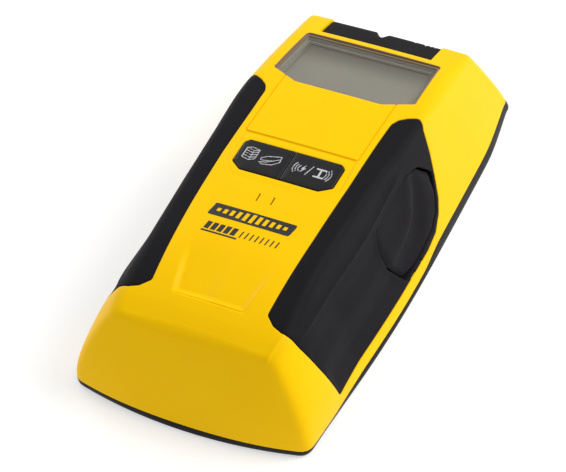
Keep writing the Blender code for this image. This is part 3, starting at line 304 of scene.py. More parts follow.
def half_outlines(spacing):
    """Right halves of the base outline and of the crown outline, in step, from near to far."""
    near_side, far_side = NEAR_END + NEAR_BOW + BASE_CORNER, FAR_END - FAR_BOW - BASE_CORNER
    steps = (np.linspace(0, 1, int(BASE_REACH / spacing))[:, None],
             np.linspace(0, math.pi / 2, 12)[1:-1, None],
             np.linspace(0, 1, int((far_side - near_side) / spacing))[:, None])
    bows, flat = (NEAR_BOW, FAR_BOW), (0.0, 0.0)
    base = half_outline(BASE_HALF_WIDTH, (NEAR_END, FAR_END), bows, BASE_CORNER, BASE_REACH, steps)
    crown = half_outline(CROWN_HALF_WIDTH, (CROWN_NEAR, CROWN_FAR), flat, CROWN_CORNER, None, steps)
    return even_and_soft(base, crown, spacing)


def even_and_soft(base, crown, spacing):
    """Space two outlines evenly, in step, and soften their corners."""
    middle = (base + crown) / 2
    along = np.concatenate([[0], np.cumsum(np.linalg.norm(np.diff(middle, axis=0), axis=1))])
    even = np.linspace(0, along[-1], int(along[-1] / spacing))
    step = even[1] - even[0]
    reach = int(3 * CROWN_BLUR[0] / step) + 1
    share = ease(np.interp(even, along, middle[:, 1]), *BLUR_CHANGE)[:, None]
    softened = []
    for outline, blurs in ((base, BASE_BLUR), (crown, CROWN_BLUR)):
        x, y = np.interp(even, along, outline[:, 0]), np.interp(even, along, outline[:, 1])
        # The outline goes on past the middle plane as its mirror image
        x = np.concatenate([-x[reach:0:-1], x, -x[-2:-reach - 2:-1]])
        y = np.concatenate([y[reach:0:-1], y, y[-2:-reach - 2:-1]])
        made = []
        for blur in blurs:
            weights = np.exp(-0.5 * (np.arange(-reach, reach + 1) * step / blur)**2)
            weights /= weights.sum()
            made.append(np.stack([np.convolve(line, weights, "valid") for line in (x, y)], axis=1))
        mixed = made[0] * (1 - share) + made[1] * share
        mixed[[0, -1], 0] = 0.0
        softened.append(mixed)
    return softened


def wall_point(base, crown, climb):
    """Points of the wall at a climb from 0 at the base to 1 at the crown."""
    away = base - crown
    out = away / np.linalg.norm(away, axis=1)[:, None]
    height = top_height(crown[:, 0], crown[:, 1])
    bulge = smooth(SIDE_BULGE, base[:, 1]) * out[:, 0]**2 + END_BULGE * out[:, 1]**2
    swell = SWELL_SCALE * np.maximum(climb, 0.0)**SWELL_POWER * (1 - climb)
    place = base + (crown - base) * np.reshape(climb, (-1, 1)) + out * (bulge * swell)[:, None]
    return np.hstack([place, (height * climb)[:, None]])


def mirror_rows(rows):
    """Rows of right halves made whole rings, going round by the right side."""
    flip = np.array([-1.0, 1.0, 1.0])
    return [np.concatenate([row, row[-2:0:-1] * flip]) for row in rows]


def body_rows(spacing, foot):
    """Rows of points from the wall's foot over the rounded crown edge to the middle of the top."""
    base, crown = half_outlines(spacing)
    away = base - crown
    length = np.sqrt(np.sum(away**2, axis=1) + top_height(crown[:, 0], crown[:, 1])**2)
    radius = smooth(EDGE_RADIUS, crown[:, 1])
    shoulder = 1 - radius / length
    start = foot(base[:, 1]) / top_height(crown[:, 0], crown[:, 1])
    rows = []
    for share in np.linspace(0, 1, int(WALL_LENGTH / spacing)):
        rows.append(wall_point(base, crown, start + (shoulder - start) * share))
    out = away / np.linalg.norm(away, axis=1)[:, None]
    inner = crown - out * radius[:, None]
    top = np.hstack([inner, top_height(inner[:, 0], inner[:, 1])[:, None]])
    further = inner - out * 0.1
    level = np.hstack([further, top_height(further[:, 0], further[:, 1])[:, None]]) - top
    level /= np.linalg.norm(level, axis=1)[:, None]
    climb = wall_point(base, crown, shoulder) - wall_point(base, crown, shoulder - 0.01)
    climb /= np.linalg.norm(climb, axis=1)[:, None]
    pull = (0.6 * radius)[:, None]
    p0, p3 = rows[-1], top
    p1, p2 = p0 + climb * pull, p3 - level * pull
    for t in np.linspace(0, 1, 8)[1:]:
        rows.append((1 - t)**3 * p0 + 3 * t * (1 - t)**2 * p1 + 3 * t**2 * (1 - t) * p2 + t**3 * p3)
    spine_y = np.clip(inner[:, 1], CROWN_NEAR + 14, CROWN_FAR - 14)
    for share in np.linspace(0, 1, int(TOP_REACH / spacing))[1:]:
        x, y = inner[:, 0] * (1 - share), inner[:, 1] * (1 - share) + spine_y * share
        rows.append(np.stack([x, y, top_height(x, y)], axis=1))
    return rows


# ---------------------------------------------------------------- skins: triangle meshes cut along lines

class Skin:
    """Points and triangles, with the points that already lie on a cut line marked as held."""

    def __init__(self, points, triangles, held=None):
        self.points = points
        self.triangles = triangles
        self.held = np.zeros(len(points), bool) if held is None else held

    def copy(self):
        return Skin(self.points.copy(), self.triangles.copy(), self.held.copy())


def skin_from_rows(rows):
    """A skin from whole rings, welded where they meet along the middle."""
    count = len(rows[0])
    points = np.concatenate(rows)
    ring = np.arange(count)
    after = (ring + 1) % count
    triangles = []
    for row in range(len(rows) - 1):
        a, b = row * count + ring, row * count + after
        c, d = b + count, a + count
        triangles += [np.stack([a, b, c], axis=1), np.stack([a, c, d], axis=1)]
    triangles = np.concatenate(triangles)
    _, first, same = np.unique(np.round(points / WELD).astype(np.int64), axis=0, return_index=True,
                               return_inverse=True)
    triangles = same.reshape(-1)[triangles]
    a, b, c = triangles.T
    return Skin(points[first], triangles[(a != b) & (b != c) & (c != a)])


def sides_of(triangles):
    return np.concatenate([triangles[:, [0, 1]], triangles[:, [1, 2]], triangles[:, [2, 0]]])


def imprint(skin, field, *levels, within=None):
    """Cut the skin's triangles so that the lines where field equals each level run along edges."""
    for level in levels:
        imprint_line(skin, lambda points: field(points) - level, within)


def imprint_line(skin, field, within):
    """Slide the points that are close onto the line where a field is 0, then split the edges it crosses."""
    value = field(skin.points)
    value[np.abs(value) < ON_LINE] = 0.0
    on_line = value == 0
    if within is not None:
        value[~within(skin.points)] = 0.0
    edges = np.unique(np.sort(sides_of(skin.triangles), axis=1), axis=0)
    a, b = edges[value[edges[:, 0]] * value[edges[:, 1]] < 0].T
    if not len(a):
        return
    share = value[a] / (value[a] - value[b])
    movers = np.concatenate([a[share < SLIDE], b[share > 1 - SLIDE]])
    goals = np.concatenate([b[share < SLIDE], a[share > 1 - SLIDE]])
    moves = np.concatenate([share[share < SLIDE], 1 - share[share > 1 - SLIDE]])
    free = ~skin.held[movers]
    movers, goals, moves = movers[free], goals[free], moves[free]
    order = np.argsort(moves, kind="stable")
    movers, goals, moves = movers[order], goals[order], moves[order]
    _, first = np.unique(movers, return_index=True)
    movers, goals, moves = movers[first], goals[first], moves[first]
    moved = skin.points[movers] + (skin.points[goals] - skin.points[movers]) * moves[:, None]
    skin.points[movers] = moved
    skin.held[movers] = True
    value[movers] = 0.0
    skin.held |= on_line
    split_edges(skin, field, value, edges)


def split_edges(skin, field, value, edges):
    """Split every edge that crosses the line, and the triangles on both sides of it."""
    a, b = edges[value[edges[:, 0]] * value[edges[:, 1]] < 0].T
    pa, pb, va, vb = skin.points[a], skin.points[b], value[a], value[b]
    share = va / (va - vb)
    for _ in range(3):
        here = field(pa + (pb - pa) * share[:, None])
        low = np.sign(here) == np.sign(va)
        nudge = np.where(low, (1 - share) * here / (here - vb), -share * here / (here - va))
        share = np.where(np.abs(here) < NEAR_LINE, share, share + nudge)
    count = len(skin.points)
    size = count + len(a)
    keys = a.astype(np.int64) * count + b
    order = np.argsort(keys)
    keys = keys[order]
    skin.points = np.concatenate([skin.points, (pa + (pb - pa) * share[:, None])[order]])
    skin.held = np.concatenate([skin.held, np.ones(size - count, bool)])

    def middle(p, q):
        return count + np.searchsorted(keys, np.minimum(p, q).astype(np.int64) * count + np.maximum(p, q))

    side = np.sign(value[skin.triangles])
    whole = ~((side.max(axis=1) > 0) & (side.min(axis=1) < 0))
    kept = [skin.triangles[whole]]
    for turn in range(3):
        s, t = np.roll(side, -turn, axis=1), np.roll(skin.triangles, -turn, axis=1)
        through = (s[:, 0] == 0) & (s[:, 1] * s[:, 2] < 0)
        p, q, r = t[through].T
        m = middle(q, r)
        kept += [np.stack([p, q, m], axis=1), np.stack([p, m, r], axis=1)]
        alone = (s[:, 0] * s[:, 1] < 0) & (s[:, 0] * s[:, 2] < 0)
        p, q, r = t[alone].T
        m, n = middle(p, q), middle(p, r)
        kept += [np.stack([p, m, n], axis=1), np.stack([m, q, r], axis=1), np.stack([m, r, n], axis=1)]
    skin.triangles = np.concatenate(kept)


def middles(skin):
    return skin.points[skin.triangles].mean(axis=1)


def keep(skin, inside):
    """The part of a skin whose triangles are marked, without loose points."""
    triangles = skin.triangles[inside]
    used, fresh = np.unique(triangles, return_inverse=True)
    return Skin(skin.points[used], fresh.reshape(-1, 3), skin.held[used])


def clipped(skin, field, *levels):
    """The part of a skin where a field is negative, with lines cut in at the levels."""
    imprint(skin, field, *levels)
    return keep(skin, field(middles(skin)) < 0)


def normals(skin):
    a, b, c = (skin.points[skin.triangles[:, i]] for i in range(3))
    face = np.cross(b - a, c - a)
    total = np.zeros_like(skin.points)
    for i in range(3):
        np.add.at(total, skin.triangles[:, i], face)
    return total / np.maximum(np.linalg.norm(total, axis=1), 1e-9)[:, None]


def shift(points, direction, depth):
    return points - direction * np.reshape(depth, (-1, 1))


def thicken(outer, inner, triangles):
    """A closed mesh from an outer and an inner layer that share their triangles, joined round the rims."""
    count = len(outer)
    pairs = sides_of(triangles)
    keys = np.sort(pairs, axis=1)
    keys = keys[:, 0].astype(np.int64) * count + keys[:, 1]
    _, index, uses = np.unique(keys, return_index=True, return_counts=True)
    rim = pairs[index[uses == 1]]
    a, b = rim.T
    walls = [np.stack([b, a, a + count], axis=1), np.stack([b, a + count, b + count], axis=1)]
    faces = np.concatenate([triangles, triangles[:, ::-1] + count] + walls)
    return np.concatenate([outer, inner]), faces


def mesh_object(name, points, faces, *surfaces):
    """An object from points in millimetres; triangle arrays and lists of polygons both serve."""
    mesh = bpy.data.meshes.new(name)
    polygons = faces.tolist() if isinstance(faces, np.ndarray) else faces
    mesh.from_pydata((np.asarray(points) * MM).tolist(), [], polygons)
    for surface in surfaces:
        mesh.materials.append(surface)
    mesh.validate()
    mesh.shade_smooth()
    mesh.set_sharp_from_angle(angle=math.radians(SHARP_ANGLE))
    return in_scene(name, mesh)


def in_scene(name, data):
    """An object for a mesh, a lamp or a camera, in the scene."""
    made = bpy.data.objects.new(name, data)
    bpy.context.scene.collection.objects.link(made)
    return made


def rides(piece, body):
    """Ride a piece on its body."""
    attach(piece, body)


def stands_for(piece, body, slot, *nodes):
    """Ride a piece on its body in place of the CAD nodes that it shows."""
    rides(piece, body)
    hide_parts(*nodes)


# ---------------------------------------------------------------- where the features lie

def flat_field(outline, corner=0.0):
    """The field of a feature that is drawn as an outline seen from above."""
    return lambda points: outline_field(outline, points[:, 0], points[:, 1], corner)


def on_front(field, points):
    """A feature's field on the front, and outside it anywhere lower."""
    return np.where(points[:, 2] > TOP_Z, field(points), OUTSIDE)


lens_field = flat_field(LENS_OUTLINE, 0.8)
keys_field = flat_field(KEY_STRIP, 1.0)
key_bay_field = flat_field(KEY_FIELD, 0.8)
panel_field = flat_field(PANEL)
low_bay_field = flat_field(LOW_FIELD, 1.2)
label_field = flat_field(LABEL, 0.4)


def grip_field(side, points):
    x, y, z = side * points[:, 0], points[:, 1], points[:, 2]
    return np.maximum(outline_field(GRIP_TOP_OUTLINE, x, y, 1.2), outline_field(GRIP_SIDE_OUTLINE, y, z, 1.2))


def button_field(side, points):
    x, y, z = side * points[:, 0], points[:, 1], points[:, 2]
    return np.maximum(outline_field(BUTTON_OUTLINE, y, z, 1.4), 26.0 - x)


def lens_height(y):
    return LENS_NEAR_Z - math.tan(LENS_SLOPE) * (y - LENS_NEAR_Y)


def slit_area(points):
    middle = sum(SLIT_Y) / 2
    half = (SLIT_Y[1] - SLIT_Y[0]) / 2
    across = np.abs(np.abs(points[:, 0]) - SLIT_X) - SLIT_HALF_WIDTH
    return np.maximum(across, np.abs(points[:, 1] - middle) - half)


def slit_field(points):
    return on_front(slit_area, points)


def cap_field(points):
    x, y, z = points.T
    return np.maximum.reduce([CAP_X[0] - x, x - CAP_X[1], CAP_NEAR_Y - y, CAP_FOOT_Z - z])


FAR_FOOT = np.array([0.0, FAR_END, 0.0])
FAR_CREST = np.array([0.0, CROWN_FAR, float(top_height(0.0, np.array([CROWN_FAR]))[0])])
FAR_SLOPE = (FAR_CREST - FAR_FOOT) / np.linalg.norm(FAR_CREST - FAR_FOOT)
FAR_OUT = np.array([0.0, FAR_SLOPE[2], -FAR_SLOPE[1]])


def far_depth(points):
    """Depth below the flat that runs from the base's far edge to the crest."""
    return -(points - FAR_FOOT) @ FAR_OUT


def notch_field(points):
    """How much deeper than the point the marking notches reach; positive where they cut."""
    x = points[:, 0]
    from_edge = NOTCH_HALF_WIDTH - np.maximum(np.abs(x - NOTCH_X), NOTCH_FLOOR)
    cut = NOTCH_DEPTH * from_edge / (NOTCH_HALF_WIDTH - NOTCH_FLOOR)
    for place, half_width, depth in SCALE_NOTCHES:
        cut = np.maximum(cut, depth * (1 - np.abs(x - place) / half_width))
    return cut - far_depth(points)


def notched(points):
    """Points moved down to the notches' floor: square to the flat high up, and level near the wall side."""
    share = ease(points[:, 2], *NOTCH_TURN)[:, None]
    way = FAR_OUT * share + np.array([0.0, 1 / FAR_OUT[1], 0.0]) * (1 - share)
    return points - way * np.maximum(notch_field(points), 0.0)[:, None]


# ---------------------------------------------------------------- materials

class Nodes:
    """A material with a Principled shader, and short ways to add the nodes that feed it."""

    def __init__(self, name, colour, roughness, **values):
        self.material = bpy.data.materials.new(name)
        self.material.use_nodes = True
        self.tree = self.material.node_tree
        self.shader = self.tree.nodes["Principled BSDF"]
        self.shader.inputs["Base Color"].default_value = (*colour, 1.0)
        self.shader.inputs["Roughness"].default_value = roughness
        self.material.diffuse_color = (*colour, 1.0)
        for label, value in values.items():
            self.shader.inputs[label.replace("_", " ")].default_value = value
        self.place = self.tree.nodes.new("ShaderNodeTexCoord").outputs["Object"]

    def add(self, kind, inputs=None, **settings):
        node = self.tree.nodes.new(kind)
        for key, value in settings.items():
            setattr(node, key, value)
        for key, value in (inputs or {}).items():
            if hasattr(value, "is_output"):
                self.tree.links.new(value, node.inputs[key])
            else:
                node.inputs[key].default_value = value
        return node

    def noise(self, size_mm, detail=3.0, stretch=None):
        """Noise whose blotches are about size_mm across."""
        place = self.place
        if stretch:
            place = self.add("ShaderNodeMapping", {"Vector": place, "Scale": stretch}).outputs["Vector"]
        inputs = {"Vector": place, "Scale": 1000.0 / size_mm, "Detail": detail}
        return self.add("ShaderNodeTexNoise", inputs).outputs["Fac"]

    def between(self, value, low, high):
        inputs = {"Value": value, "To Min": low, "To Max": high}
        return self.add("ShaderNodeMapRange", inputs).outputs["Result"]

    def tint(self, value, first, second):
        ramp = self.add("ShaderNodeValToRGB", {"Fac": value})
        ramp.color_ramp.elements[0].color = (*first, 1.0)
        ramp.color_ramp.elements[1].color = (*second, 1.0)
        return ramp.outputs["Color"]

    def feed(self, label, output):
        self.tree.links.new(output, self.shader.inputs[label])

    def bump(self, height, strength, depth_mm):
        node = self.add("ShaderNodeBump", {"Height": height, "Strength": strength, "Distance": depth_mm * MM})
        self.feed("Normal", node.outputs["Normal"])


def moulded(name, colour, roughness, grain_mm=0.35, grain=0.25, depth_mm=0.02, spread=0.04, **values):
    """Moulded plastic: a fine spark-eroded grain, and slight drifts of colour and gloss."""
    made = Nodes(name, colour, roughness, **values)
    drift = made.noise(18.0, 2.0)
    lighter = tuple(min(c * (1 + spread), 1.0) for c in colour)
    darker = tuple(c * (1 - spread) for c in colour)
    made.feed("Base Color", made.tint(drift, darker, lighter))
    made.feed("Roughness", made.between(made.noise(6.0), roughness - 0.05, roughness + 0.07))
    made.bump(made.noise(grain_mm, 4.0), grain, depth_mm)
    return made.material


def metal(name, colour, roughness):
    """Plated or turned metal with fine drawn lines."""
    made = Nodes(name, colour, roughness, Metallic=1.0)
    lines = made.noise(0.5, 2.0, stretch=(1.0, 1.0, 0.1))
    made.feed("Roughness", made.between(lines, roughness - 0.08, roughness + 0.12))
    made.bump(lines, 0.15, 0.01)
    return made.material


def clear_cover(name):
    """A clear moulded cover: it lets the display show and keeps a gloss that grows at a glance."""
    made = Nodes(name, (0.2, 0.19, 0.17), 0.06)
    made.feed("Roughness", made.between(made.noise(9.0), 0.04, 0.1))
    clear = made.add("ShaderNodeBsdfTransparent", {"Color": (0.93, 0.93, 0.9, 1.0)})
    edge = made.add("ShaderNodeLayerWeight", {"Blend": 0.12})
    share = made.between(edge.outputs["Facing"], 0.05, 0.6)
    mix = made.add("ShaderNodeMixShader",
                   {"Fac": share, 1: clear.outputs["BSDF"], 2: made.shader.outputs["BSDF"]})
    made.tree.links.new(mix.outputs["Shader"], made.tree.nodes["Material Output"].inputs["Surface"])
    return made.material


def display_face(name):
    """An unlit liquid crystal display: warm grey, clouded, and darker towards the far end of its well, a
    painted shade of the well's far wall.
    """
    made = Nodes(name, (0.42, 0.398, 0.372), 0.35)
    cloud = made.noise(25.0, 1.0)
    plain = made.tint(cloud, (0.39, 0.37, 0.346), (0.45, 0.427, 0.4))
    # Painted shade: the colour is scaled down to 0.45 towards the far end, where the well's far wall shades
    # the display.
    along = made.add("ShaderNodeSeparateXYZ", {"Vector": made.place}).outputs["Y"]
    span = {"Value": along, "From Min": 0.041, "From Max": 0.054, "To Min": 1.0, "To Max": 0.45}
    shade = made.add("ShaderNodeMapRange", span, interpolation_type="SMOOTHSTEP").outputs["Result"]
    shaded = made.add("ShaderNodeVectorMath", {0: plain, "Scale": shade}, operation="SCALE")
    made.feed("Base Color", shaded.outputs["Vector"])
    made.feed("Roughness", made.between(made.noise(3.0), 0.3, 0.42))
    made.bump(made.noise(0.2), 0.08, 0.01)
    return made.material


# ---------------------------------------------------------------- the housing

def edge_levels(seam, radius):
    """Levels of a field at which a rounded edge and the wall below it need points."""
    return seam + radius, seam + radius * 0.5, seam + radius * 0.18, seam, seam - STEP


def pocket(distance, seam, radius, depth):
    """Depth of a flat pocket with a rounded rim."""
    d = distance - seam
    wall = np.clip(-d / STEP, 0.0, 1.0)
    return np.where(d >= 0, roll(d, radius), radius + (depth - radius) * wall)


def hairline(distance, width, depth):
    """Depth of a narrow groove along the line where a distance is 0."""
    return depth * (1 - ease(np.abs(distance), width * 0.25, width))


def openings_depth(points):
    """How deep the shell's recesses and the rounded edges of its openings are."""
    depths = [pocket(grip_field(side, points), GRIP_SEAM, GRIP_EDGE, GRIP_DEPTH + GAP) for side in (1, -1)]
    depths.append(roll(on_front(lens_field, points) - CLEARANCE, WINDOW_EDGE))
    depths.append(roll(on_front(keys_field, points) - CLEARANCE, KEY_EDGE))
    depths.append(roll(slit_field(points), SLIT_EDGE))
    depths.append(pocket(cap_field(points), CLEARANCE, CAP_EDGE, CAP_DEPTH + GAP))
    return np.maximum.reduce(depths)


def housing_depth(points):
    """How far the shell's face lies below the plain body form."""
    x, y, z = points.T
    depth = openings_depth(points)
    key_bay = on_front(key_bay_field, points)
    depth += KEY_BAY_DEPTH * (1 - ease(key_bay, -0.45, 0.05)) + hairline(key_bay + 0.35, *KEY_BAY_GROOVE)
    depth += hairline(np.where(y > -2.5, on_front(panel_field, points), OUTSIDE), *PANEL_GROOVE)
    low_bay = on_front(low_bay_field, points)
    inside = (1 - ease(low_bay, -2.0, 0.0)) * (1 - ease(y, -62.0, -45.0)) * (z > TOP_Z)
    depth += (LOW_BAY_DEPTH - LOW_BAY_RISE * ease(x, -3.0, 3.0)) * inside
    depth += hairline(low_bay + 0.15, *LOW_BAY_GROOVE) * (1 - ease(y, -58.0, -48.0)) * (x > -10.5)
    ridge = line_distance(CORNER_RIDGE, x, y)
    along = (1 - ease(y, -69.8, -68.4)) * ease(y, -77.6, -76.2) * (x > 15)
    depth -= RIDGE_HEIGHT * (1 - ease(np.abs(ridge), 0.1, 0.75)) * along
    return depth


def push_lines(skin, side):
    """Outward directions: square to the form, but along a side button's travel close to that button."""
    square = normals(skin)
    near = 1 - ease(button_field(side, skin.points), 1.5, 4.0)
    mixed = square * (1 - near)[:, None]
    mixed[:, 0] += side * near
    return mixed / np.clip(np.sum(mixed * square, axis=1), 0.5, None)[:, None]


def make_housing(form, surface, liner, outline):
    """The fine shell; the grips' rubber lines its side openings and a dark edge of painted shadow runs round
    its window.
    """
    skin = form.copy()
    cut_housing_lines(skin)
    at = middles(skin)
    on_top = at[:, 2] > TOP_Z
    open_parts = (keys_field(at) < CLEARANCE) & on_top
    open_parts |= (lens_field(at) < -WINDOW_INSET) & on_top
    open_parts |= slit_field(at) < 0
    for side in (1, -1):
        open_parts |= button_field(side, at) < HOLE_MARGIN
    skin = keep(skin, ~open_parts)
    on_right = skin.points[:, 0] > 0
    inward = np.where(on_right[:, None], push_lines(skin, 1), push_lines(skin, -1))
    depth = housing_depth(skin.points)
    outer = shift(skin.points, inward, depth)
    inner = shift(skin.points, inward, np.maximum(SHELL, depth + 1.0))
    in_window = (lens_field(skin.points) < CLEARANCE - STEP / 2) & (skin.points[:, 2] > TOP_Z)
    seat = lens_height(skin.points[:, 1]) - LENS_THICKNESS - SEAT_GAP
    outer[in_window, 2] = seat[in_window]
    inner[in_window, 2] = seat[in_window] - SEAT_THICKNESS
    points, faces = thicken(outer, inner, skin.triangles)
    piece = mesh_object("housing_shell", points, faces, surface, liner, outline)
    deep = np.concatenate([depth > GRIP_DEPTH, np.ones(len(depth), bool)])
    at = np.mean(points[faces], axis=1)
    beside_button = np.minimum(button_field(1, at), button_field(-1, at)) < HOLE_MARGIN + LINER_REACH
    index = np.where(deep[faces].all(axis=1) & beside_button, 1, 0)
    # Painted shadow: faces round the window take the dark rim colour, wider at the near edge, for the shade
    # in the gap round the cover.
    gap_shade_width = CLEARANCE + WINDOW_EDGE * np.where(at[:, 1] > 33, 0.5, 1.0)
    index[(lens_field(at) < gap_shade_width) & (at[:, 2] > TOP_Z)] = 2
    piece.data.polygons.foreach_set("material_index", index.astype(np.int32))
    stands_for(piece, "housing", "housing", "front_housing")


def cut_housing_lines(skin):
    """Cut the edges of every opening, recess and groove into the shell's skin."""
    for side in (1, -1):
        imprint(skin, lambda p: grip_field(side, p), *edge_levels(GRIP_SEAM, GRIP_EDGE))
        imprint(skin, lambda p: button_field(side, p), HOLE_MARGIN)
    imprint(skin, lens_field, *edge_levels(CLEARANCE, WINDOW_EDGE), -WINDOW_INSET)
    imprint(skin, keys_field, *edge_levels(CLEARANCE, KEY_EDGE)[:-1])
    imprint(skin, cap_field, *edge_levels(CLEARANCE, CAP_EDGE))
    imprint(skin, key_bay_field, 0.05, -0.2, -0.45)
    imprint(skin, panel_field, 0.3, 0.08, -0.08, -0.3)
    imprint(skin, low_bay_field, 0.2, -0.06, -0.24, -0.5, -1.0, -1.5, -2.0)
    imprint(skin, lambda p: line_distance(CORNER_RIDGE, p[:, 0], p[:, 1]), -0.7, -0.3, 0.0, 0.3, 0.7,
            within=lambda p: (p[:, 0] > 20) & (np.abs(p[:, 1] + 73.0) < 6.0))
    frame_x, frame_edge = SLIT_HALF_WIDTH + SLIT_FRAME + 0.07, SLIT_FRAME + 0.001
    for x in (-SLIT_X, SLIT_X):
        imprint(skin, slit_field, SLIT_FRAME)
        imprint(skin, lambda p: p[:, 0] - x, 0.0,
                within=lambda p: (np.abs(p[:, 0] - x) < frame_x) & (slit_field(p) < frame_edge))
    imprint(skin, slit_field, SLIT_EDGE, 0.0)


# ---------------------------------------------------------------- grips and side buttons

def above_ridge(points):
    """Height above the ridge that runs along a grip's shoulder."""
    return points[:, 2] - smooth(GRIP_RIDGE, points[:, 1])


def grip_relief(points, distance):
    """The ridge with the flat above it and the hollows below it, fading out at the grip's edges."""
    heights, depths = zip(*GRIP_RELIEF)
    relief = np.interp(above_ridge(points), heights, depths)
    return relief * ease(distance, 0.1, 1.8) * (1 - ease(points[:, 1], -2.0, 9.0))


def make_grip(form, side, surface):
    """A grip's skin; its gap to the side button opens towards the button's two ends."""
    name = "right_grip" if side > 0 else "left_grip"

    def edge(points):
        y, z = points[:, 1], points[:, 2]
        ends = np.maximum(ease(y, 8.0, 12.0), ease(-y - 0.4 * (z - 20.0), 9.0, 13.0))
        seam = BUTTON_SEAM + OPEN_SEAM * ends
        return np.maximum(grip_field(side, points), seam - button_field(side, points))

    skin = form.copy()
    imprint(skin, above_ridge, -0.7, 0.0, 0.7, within=lambda p: (edge(p) < 1.5) & (p[:, 1] < 6))
    skin = clipped(skin, edge, 0.0, -0.08, -0.22, -0.45)
    inward = push_lines(skin, side)
    distance = -edge(skin.points)
    fall = roll(distance, RUBBER_EDGE) * 0.9 + grip_relief(skin.points, distance)
    outer = shift(skin.points, inward, fall)
    inner = shift(skin.points, inward, GRIP_DEPTH)
    piece = mesh_object(name + "_skin", *thicken(outer, inner, skin.triangles), surface)
    stands_for(piece, "housing", "grip", name)


def button_depth(side, points):
    """How far a side button lies below the form: it falls off at both ends and is dished below its crease."""
    y, z = points[:, 1], points[:, 2]
    below = line_distance(BUTTON_CREASE, y, z)
    dish = DISH_DEPTH * ease(below, 0.0, 4.5) * ease(14.5 - y, 0.0, 10.0) * ease(y + 24.0, 0.0, 18.0)
    dish *= 1 - 0.7 * ease(below, 6.0, 12.0)
    above = ABOVE_DEPTH * ease(-below, 0.0, 7.0)
    ends = ease(button_field(side, points), -2.6, 0.2)
    far_end, low_end = ease(y + 0.6 * (z - 22.0), 14.0, 19.0), ease(-y - 0.4 * (z - 20.0), 12.0, 18.0)
    return dish + above + END_DEPTH * ends * np.maximum(far_end, low_end)


def make_side_button(form, side, surface):
    """The pad with its crease and dish, made along its travel, and the stem to the switch."""
    name = "right_side_button" if side > 0 else "left_side_button"

    def edge(points):
        return button_field(side, points)

    skin = form.copy()
    imprint(skin, lambda p: line_distance(BUTTON_CREASE, p[:, 1], p[:, 2]), 0.0,
            within=lambda p: (edge(p) < 1.5) & (side * p[:, 0] > 24))
    skin = clipped(skin, edge, 0.0, -0.06, -0.2, -0.4)
    travel = np.array([[side, 0.0, 0.0]])
    fall = roll(-edge(skin.points), PAD_EDGE) + button_depth(side, skin.points)
    outer = shift(skin.points, travel, fall)
    inner = shift(skin.points, travel, BUTTON_DEPTH)
    pad = thicken(outer, inner, skin.triangles)
    stem = round_bar((side * STEM_TIP, STEM_Y, STEM_Z), (side * STEM_ROOT, STEM_Y, STEM_Z), STEM_RADIUS)
    piece = mesh_object(name + "_pad", *joined(pad, stem), surface)
    stands_for(piece, name, "grip", name)


# ---------------------------------------------------------------- solids from rings, slabs and boxes

def loft(rings, ends=True):
    """Rings of equal count joined in turn, with the two ends closed or the last ring joined to the first."""
    count, total = len(rings[0]), len(rings)
    faces = [list(range(count))[::-1]] if ends else []
    for row in range(total - 1 if ends else total):
        here, there = row * count, (row + 1) % total * count
        for i in range(count):
            j = (i + 1) % count
            faces.append([here + i, here + j, there + j, there + i])
    if ends:
        faces.append(list(range((total - 1) * count, total * count)))
    return np.concatenate(rings), faces


def round_bar(start, end, radius, sides=24, edge=0.2):
    """A round bar with softened ends, as points and faces."""
    start, end = np.array(start, float), np.array(end, float)
    along = (end - start) / np.linalg.norm(end - start)
    across = np.cross(along, (0.0, 0.0, 1.0) if abs(along[2]) < 0.9 else (1.0, 0.0, 0.0))
    across /= np.linalg.norm(across)
    up = np.cross(along, across)
    turn = np.linspace(0, 2 * math.pi, sides, endpoint=False)[:, None]
    ring = across * np.cos(turn) + up * np.sin(turn)
    stations = ((start, radius - edge), (start + along * edge, radius), (end - along * edge, radius),
                (end, radius - edge))
    return loft([middle + ring * reach for middle, reach in stations])


def rounded_outline(outline, radius, steps=7):
    """A flat outline, anticlockwise, with each corner turned as an arc."""
    points = np.array(outline, float)
    before = np.roll(points, 1, axis=0)
    if np.sum(before[:, 0] * points[:, 1] - points[:, 0] * before[:, 1]) < 0:
        points = points[::-1]
    made = []
    for before, here, after in zip(np.roll(points, 1, axis=0), points, np.roll(points, -1, axis=0)):
        into, out_of = here - before, after - here
        into, out_of = into / np.linalg.norm(into), out_of / np.linalg.norm(out_of)
        turn = math.acos(float(np.clip(into @ out_of, -1, 1)))
        reach = radius * math.tan(turn / 2)
        middle = here - into * reach + np.array([-into[1], into[0]]) * radius
        first = math.atan2(-into[0], into[1])
        for share in np.linspace(0, 1, steps):
            angle = first + turn * share
            made.append(middle + radius * np.array([math.cos(angle), math.sin(angle)]))
    return np.array(made)


def slab(outline, corner, low, high, edge, lower_edge=0.0, crown=0.0):
    """A flat solid with arcs at its corners and rounded rims, as points and faces."""
    levels = []
    if lower_edge:
        levels += [(lower_edge * (1 - math.sin(a)), low + lower_edge * (1 - math.cos(a)))
                   for a in np.linspace(0, math.pi / 2, 4)]
    else:
        levels.append((0.0, low))
    levels += [(edge * (1 - math.cos(a)), high - edge + edge * math.sin(a))
               for a in np.linspace(0, math.pi / 2, 6)]
    if crown:
        levels += [(edge + 0.5, high + crown * 0.5), (edge + 1.4, high + crown)]
    rings = []
    for inset, z in levels:
        ring = rounded_outline(offset_outline(outline, -inset), max(corner - inset, 0.12))
        rings.append(at_height(ring, z))
    return loft(rings)


def at_height(ring, z):
    return np.hstack([ring, np.full((len(ring), 1), z)])


def joined(*shapes):
    """Several shapes' points and faces as one."""
    points, faces, count = [], [], 0
    for shape_points, shape_faces in shapes:
        points.append(shape_points)
        faces += [[int(i) + count for i in face] for face in shape_faces]
        count += len(shape_points)
    return np.concatenate(points), faces


# ---------------------------------------------------------------- display cover

def on_lens_plane(points):
    """Points drawn flat, measured down from the cover's face, laid on its sloping plane."""
    x, y, z = np.asarray(points).T
    along = y - LENS_NEAR_Y
    cos, sin = math.cos(LENS_SLOPE), math.sin(LENS_SLOPE)
    return np.stack([x, LENS_NEAR_Y + along * cos + z * sin, LENS_NEAR_Z - along * sin + z * cos], axis=1)


